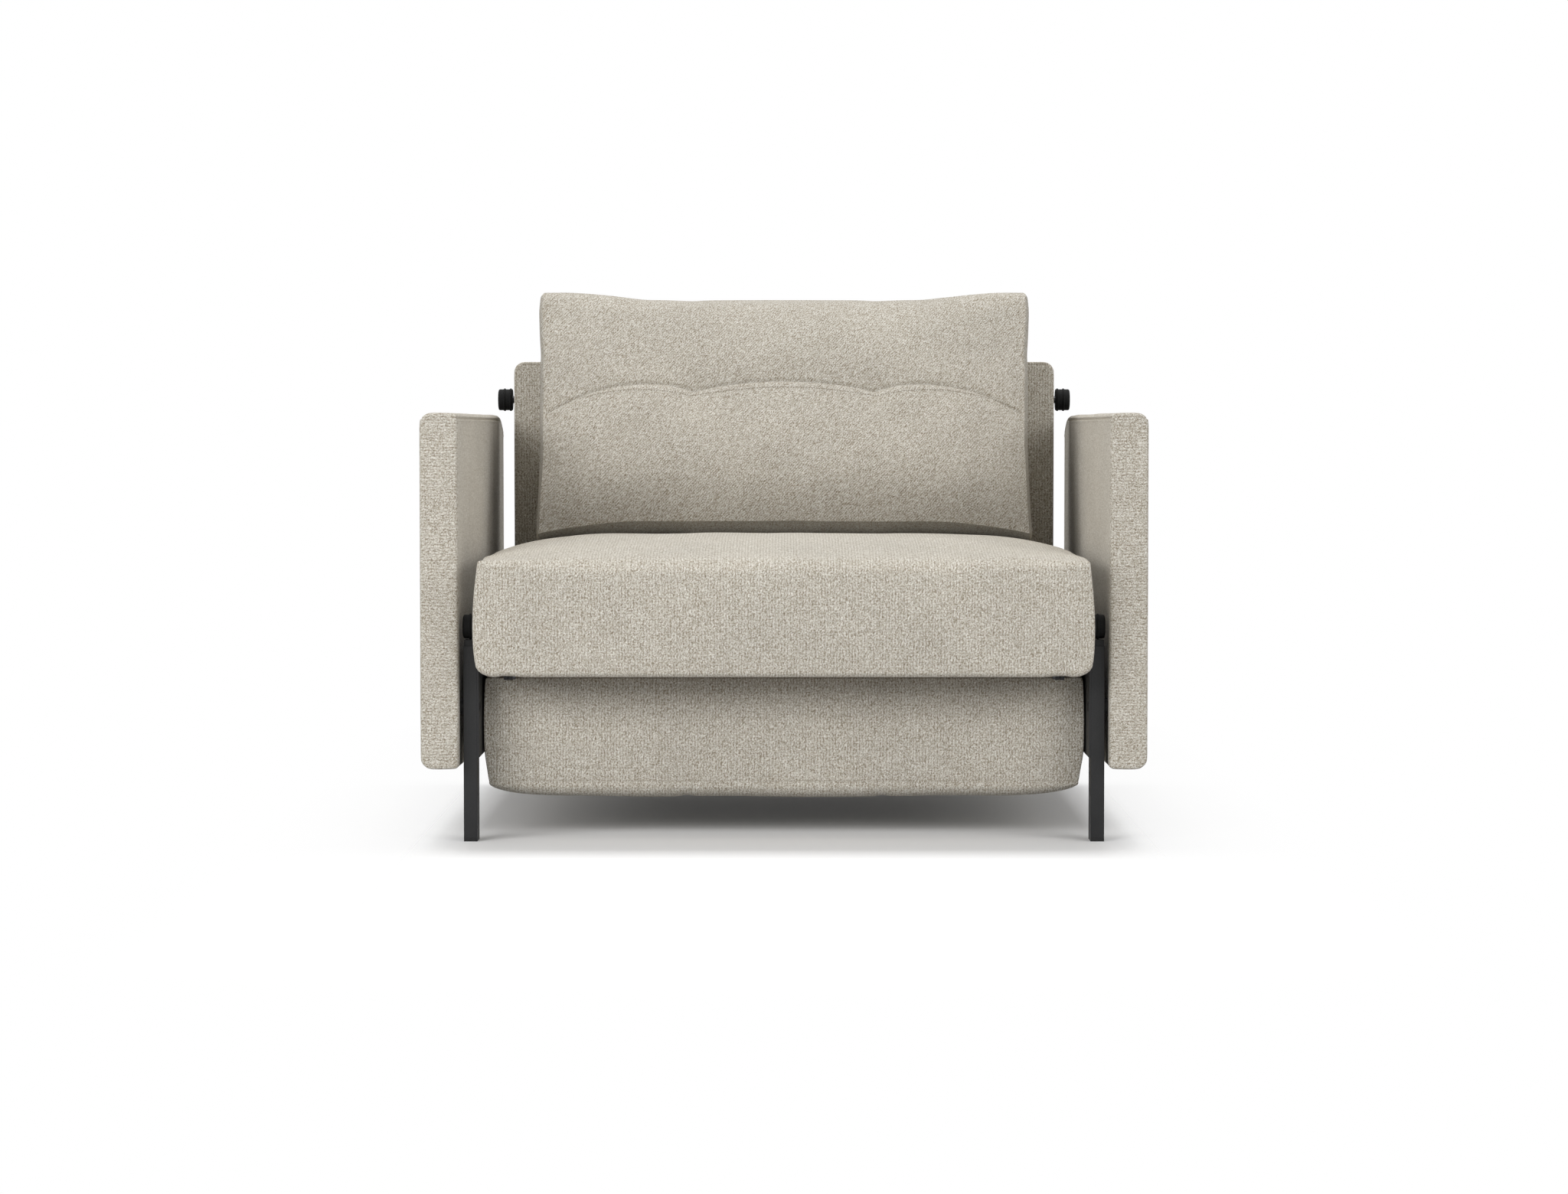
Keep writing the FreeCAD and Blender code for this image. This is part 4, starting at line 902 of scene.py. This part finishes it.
def half_width(z):
    """The cushion's outline as seen from the front."""
    levels = [0.445, 0.500, 0.585, 0.640, 0.713, 0.734, 0.762, 0.809, 0.839]
    widths = [0.4010, 0.3985, 0.3962, 0.3978, 0.3990, 0.3978, 0.4005, 0.4032, 0.4005]
    return np.interp(z, levels, widths)


def make_cushion():
    xs = grid(lines(-1, 1, 0.0185, (-TUFT / CUSHION_HALF, TUFT / CUSHION_HALF), (0.0, 0.008)),
              mirrored((0.9965, 0.991, 0.983, 0.973)))
    ws = grid(lines(0, 1, 0.0225, (0.5,), (0.0, 0.0042, 0.011)), {0.003, 0.009, 0.985, 0.970, 0.955})
    ds = np.array([0, 0.012, 0.04, 0.08, 0.13, 0.19, 0.26, 0.34, 0.42, 0.5, 0.58, 0.66, 0.74, 0.81, 0.87,
                   0.92, 0.96, 0.988, 1])
    q, faces = shell(xs, ds, ws)
    s, d, w = q.T  # across, from front to rear, and from the bottom up
    x = s * CUSHION_HALF
    thick = 0.204 + (0.036 - 0.204) * w
    tall = 0.40
    radius = 0.013
    gap, head = np.minimum(d, 1 - d) * thick, (1 - w) * tall
    dp, dq = radius - gap, radius - head
    inside = (dp > 0) & (dq > 0)
    scale = np.where(inside, np.maximum(dp, dq) / np.maximum(np.hypot(dp, dq), 1e-9), 1)
    new_gap, new_head = radius - dp * scale, radius - dq * scale
    d = np.where(inside, np.where(d < 0.5, new_gap / thick, 1 - new_gap / thick), d)
    w = np.where(inside, 1 - new_head / tall, w)
    base, crest, welt = seam_height(x), crest_height(x), welt_height(x)
    middle = (welt - base) / (crest - base)
    share = np.where(w < 0.5, 2 * w * middle, middle + (2 * w - 1) * (1 - middle))
    z = base + (crest - base) * share
    u = CUSHION_FRONT + (0.7010 - CUSHION_FRONT) * share
    inset = 0.0065
    chin = 1 - (1 - np.clip(w / 0.24, 0, 1)) ** 2.2
    body = 0.030 * chin * (1 - np.clip((w - 0.24) / 0.76, 0, 1) ** 4) * swell(s, 5)
    pinch = 0.0032 * bell((w - 0.5) * tall, 0.014) * swell(s, 8)
    near = np.hypot(np.abs(x) - TUFT, (w - 0.5) * tall)
    dimple = 0.0048 * bell(near, 0.026)
    crease = 0.0016 * bell(np.abs(x) - TUFT, 0.0055)
    crease = crease * np.where(w < 0.5, 1 - 0.5 * ease((0.5 - w) / 0.5), 0)
    bulge = (body - pinch - dimple - crease) * (1 - d) ** 1.5
    front = 1 - d
    rear_low = np.maximum(seat_top(x, np.full(len(x), 0.700)), 0.4215) + 0.0016
    rear_z = rear_low + (crest - rear_low) * w
    z_skin = z * front + rear_z * d
    u_skin = u * front + CUSHION_REAR * d
    floor = np.clip(1 - w / 0.04, 0, 1)
    depth_here = CUSHION_FRONT + (CUSHION_REAR - CUSHION_FRONT) * d
    seat_here = seat_top(x, depth_here) + 0.0022
    under = base + (seat_here - base) * ease((depth_here - CUSHION_FRONT) / 0.040) ** 0.8
    z_skin = np.where(w < 0.04, under * floor + z_skin * (1 - floor), z_skin)
    u_skin = np.where(w < 0.04, depth_here * floor + u_skin * (1 - floor), u_skin)
    gusset = 1 - np.abs(2 * d - 1) ** 5
    end = ease((np.abs(s) - 0.90) / 0.10)
    width = half_width(z_skin) - inset
    width += inset * gusset * ease(np.minimum(w, 1 - w) / 0.02 * 0.8 + 0.35) * end
    p = np.stack([s * width, u_skin - bulge * 0.906, z_skin + bulge * 0.424], 1)
    p[:, 1] = np.minimum(p[:, 1], CUSHION_REAR) + FORE
    cushion = build("back_cushion", p, faces, (CUSHION_CLOTH,))
    flat = (d > 0.97) | (w < 0.001)
    seams = (np.abs(s) > 0.9999) & (d < 0.001)
    welts = (np.abs(w - 0.5) < 0.0005) & (d < 0.001)
    held = np.where(flat | seams | ((d < 0.001) & (w < 0.001)), 1.0, 0.0)
    held = np.where(welts, 0.9, held)
    held = np.where((near < 0.012) & (d < 0.001), 1.0, held)
    settle(cushion, held, cap=0.006, pressure=3.0)
    n = normals(cushion.data)
    soft = 1 - np.clip(d * 3, 0, 1)
    put(cushion.data, coords(cushion.data) + n * (waves(p, 0.11, 0.0010, 21) * soft)[:, None])
    seam = np.where((d < 0.001) & (np.abs(s) < 0.99), (w - 0.5) * tall, 1)
    press(cushion, seam, 0.0022, 0.0020, 0.0010)
    divide(cushion)
    dress(cushion, "back_cushion", "back_cushion_cover", "back_cushion_filling", fill=0.8)
    route = [(px, FORE + 0.45, float(welt_height(px)) + 0.0006) for px in np.linspace(-0.389, 0.389, 400)]
    stitches("cushion_welt_stitches", cushion, route, (0, 1, 0), "back_cushion", pitch=0.0042, length=0.0026,
             yarn=DARK_THREAD)


# ---------------------------------------------------------------- rollers
BARREL, RIDGES, RIDGE_WIDTH, RIDGE_HEIGHT = 0.0177, (0.0134, 0.0033), 0.0017, 0.0015


def make_roller(name, node, body):
    """A turned wheel with two half-round ridges and an eased outer end."""
    low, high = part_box(node)
    centre = (low + high) / 2
    side = 1 if centre.x > 0 else -1
    inner = low.x if side > 0 else high.x
    profile = [(0.0240, 0.0), (0.0240, 0.0145), (0.0237, 0.0160), (0.0228, 0.0172), (0.0215, BARREL)]
    for ridge in RIDGES:
        profile.append((ridge + 0.0021, BARREL))
        for turn in range(9):
            angle = math.pi * turn / 8
            profile.append((ridge + RIDGE_WIDTH * math.cos(angle), BARREL + RIDGE_HEIGHT * math.sin(angle)))
        profile.append((ridge - 0.0021, BARREL))
    profile += [(0.0006, BARREL), (0.0, 0.0171), (0.0, 0.0063)]
    around = 64
    points, faces = [], []
    for reach, radius in profile:
        for turn in range(around):
            angle = 2 * math.pi * turn / around
            points.append((inner + side * reach, centre.y + radius * math.cos(angle),
                           centre.z + radius * math.sin(angle)))
    for ring in range(len(profile) - 1):
        for turn in range(around):
            nxt = (turn + 1) % around
            quad = (ring * around + turn, ring * around + nxt,
                    (ring + 1) * around + nxt, (ring + 1) * around + turn)
            faces.append(quad if side < 0 else quad[::-1])
    wheel = build(name, np.array(points), np.array(faces), (NODE_PAINT["roller_rubber"],))
    wheel.data.set_sharp_from_angle(angle=math.radians(40))
    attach(wheel, body)
    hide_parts(node)


# ---------------------------------------------------------------- everything together
for node in nodes.values():
    for place, plain in enumerate(node.data.materials):
        node.data.materials[place] = NODE_PAINT[plain.name]

make_seat()
make_foot()
make_back()
make_arm("left", -1)
make_arm("right", 1)
make_cushion()
for where in ("front", "rear", "back"):
    for label in ("left", "right"):
        make_roller(f"{where}_{label}_wheel_tyre", f"{where}_{label}_roller", f"{where}_{label}_wheel")
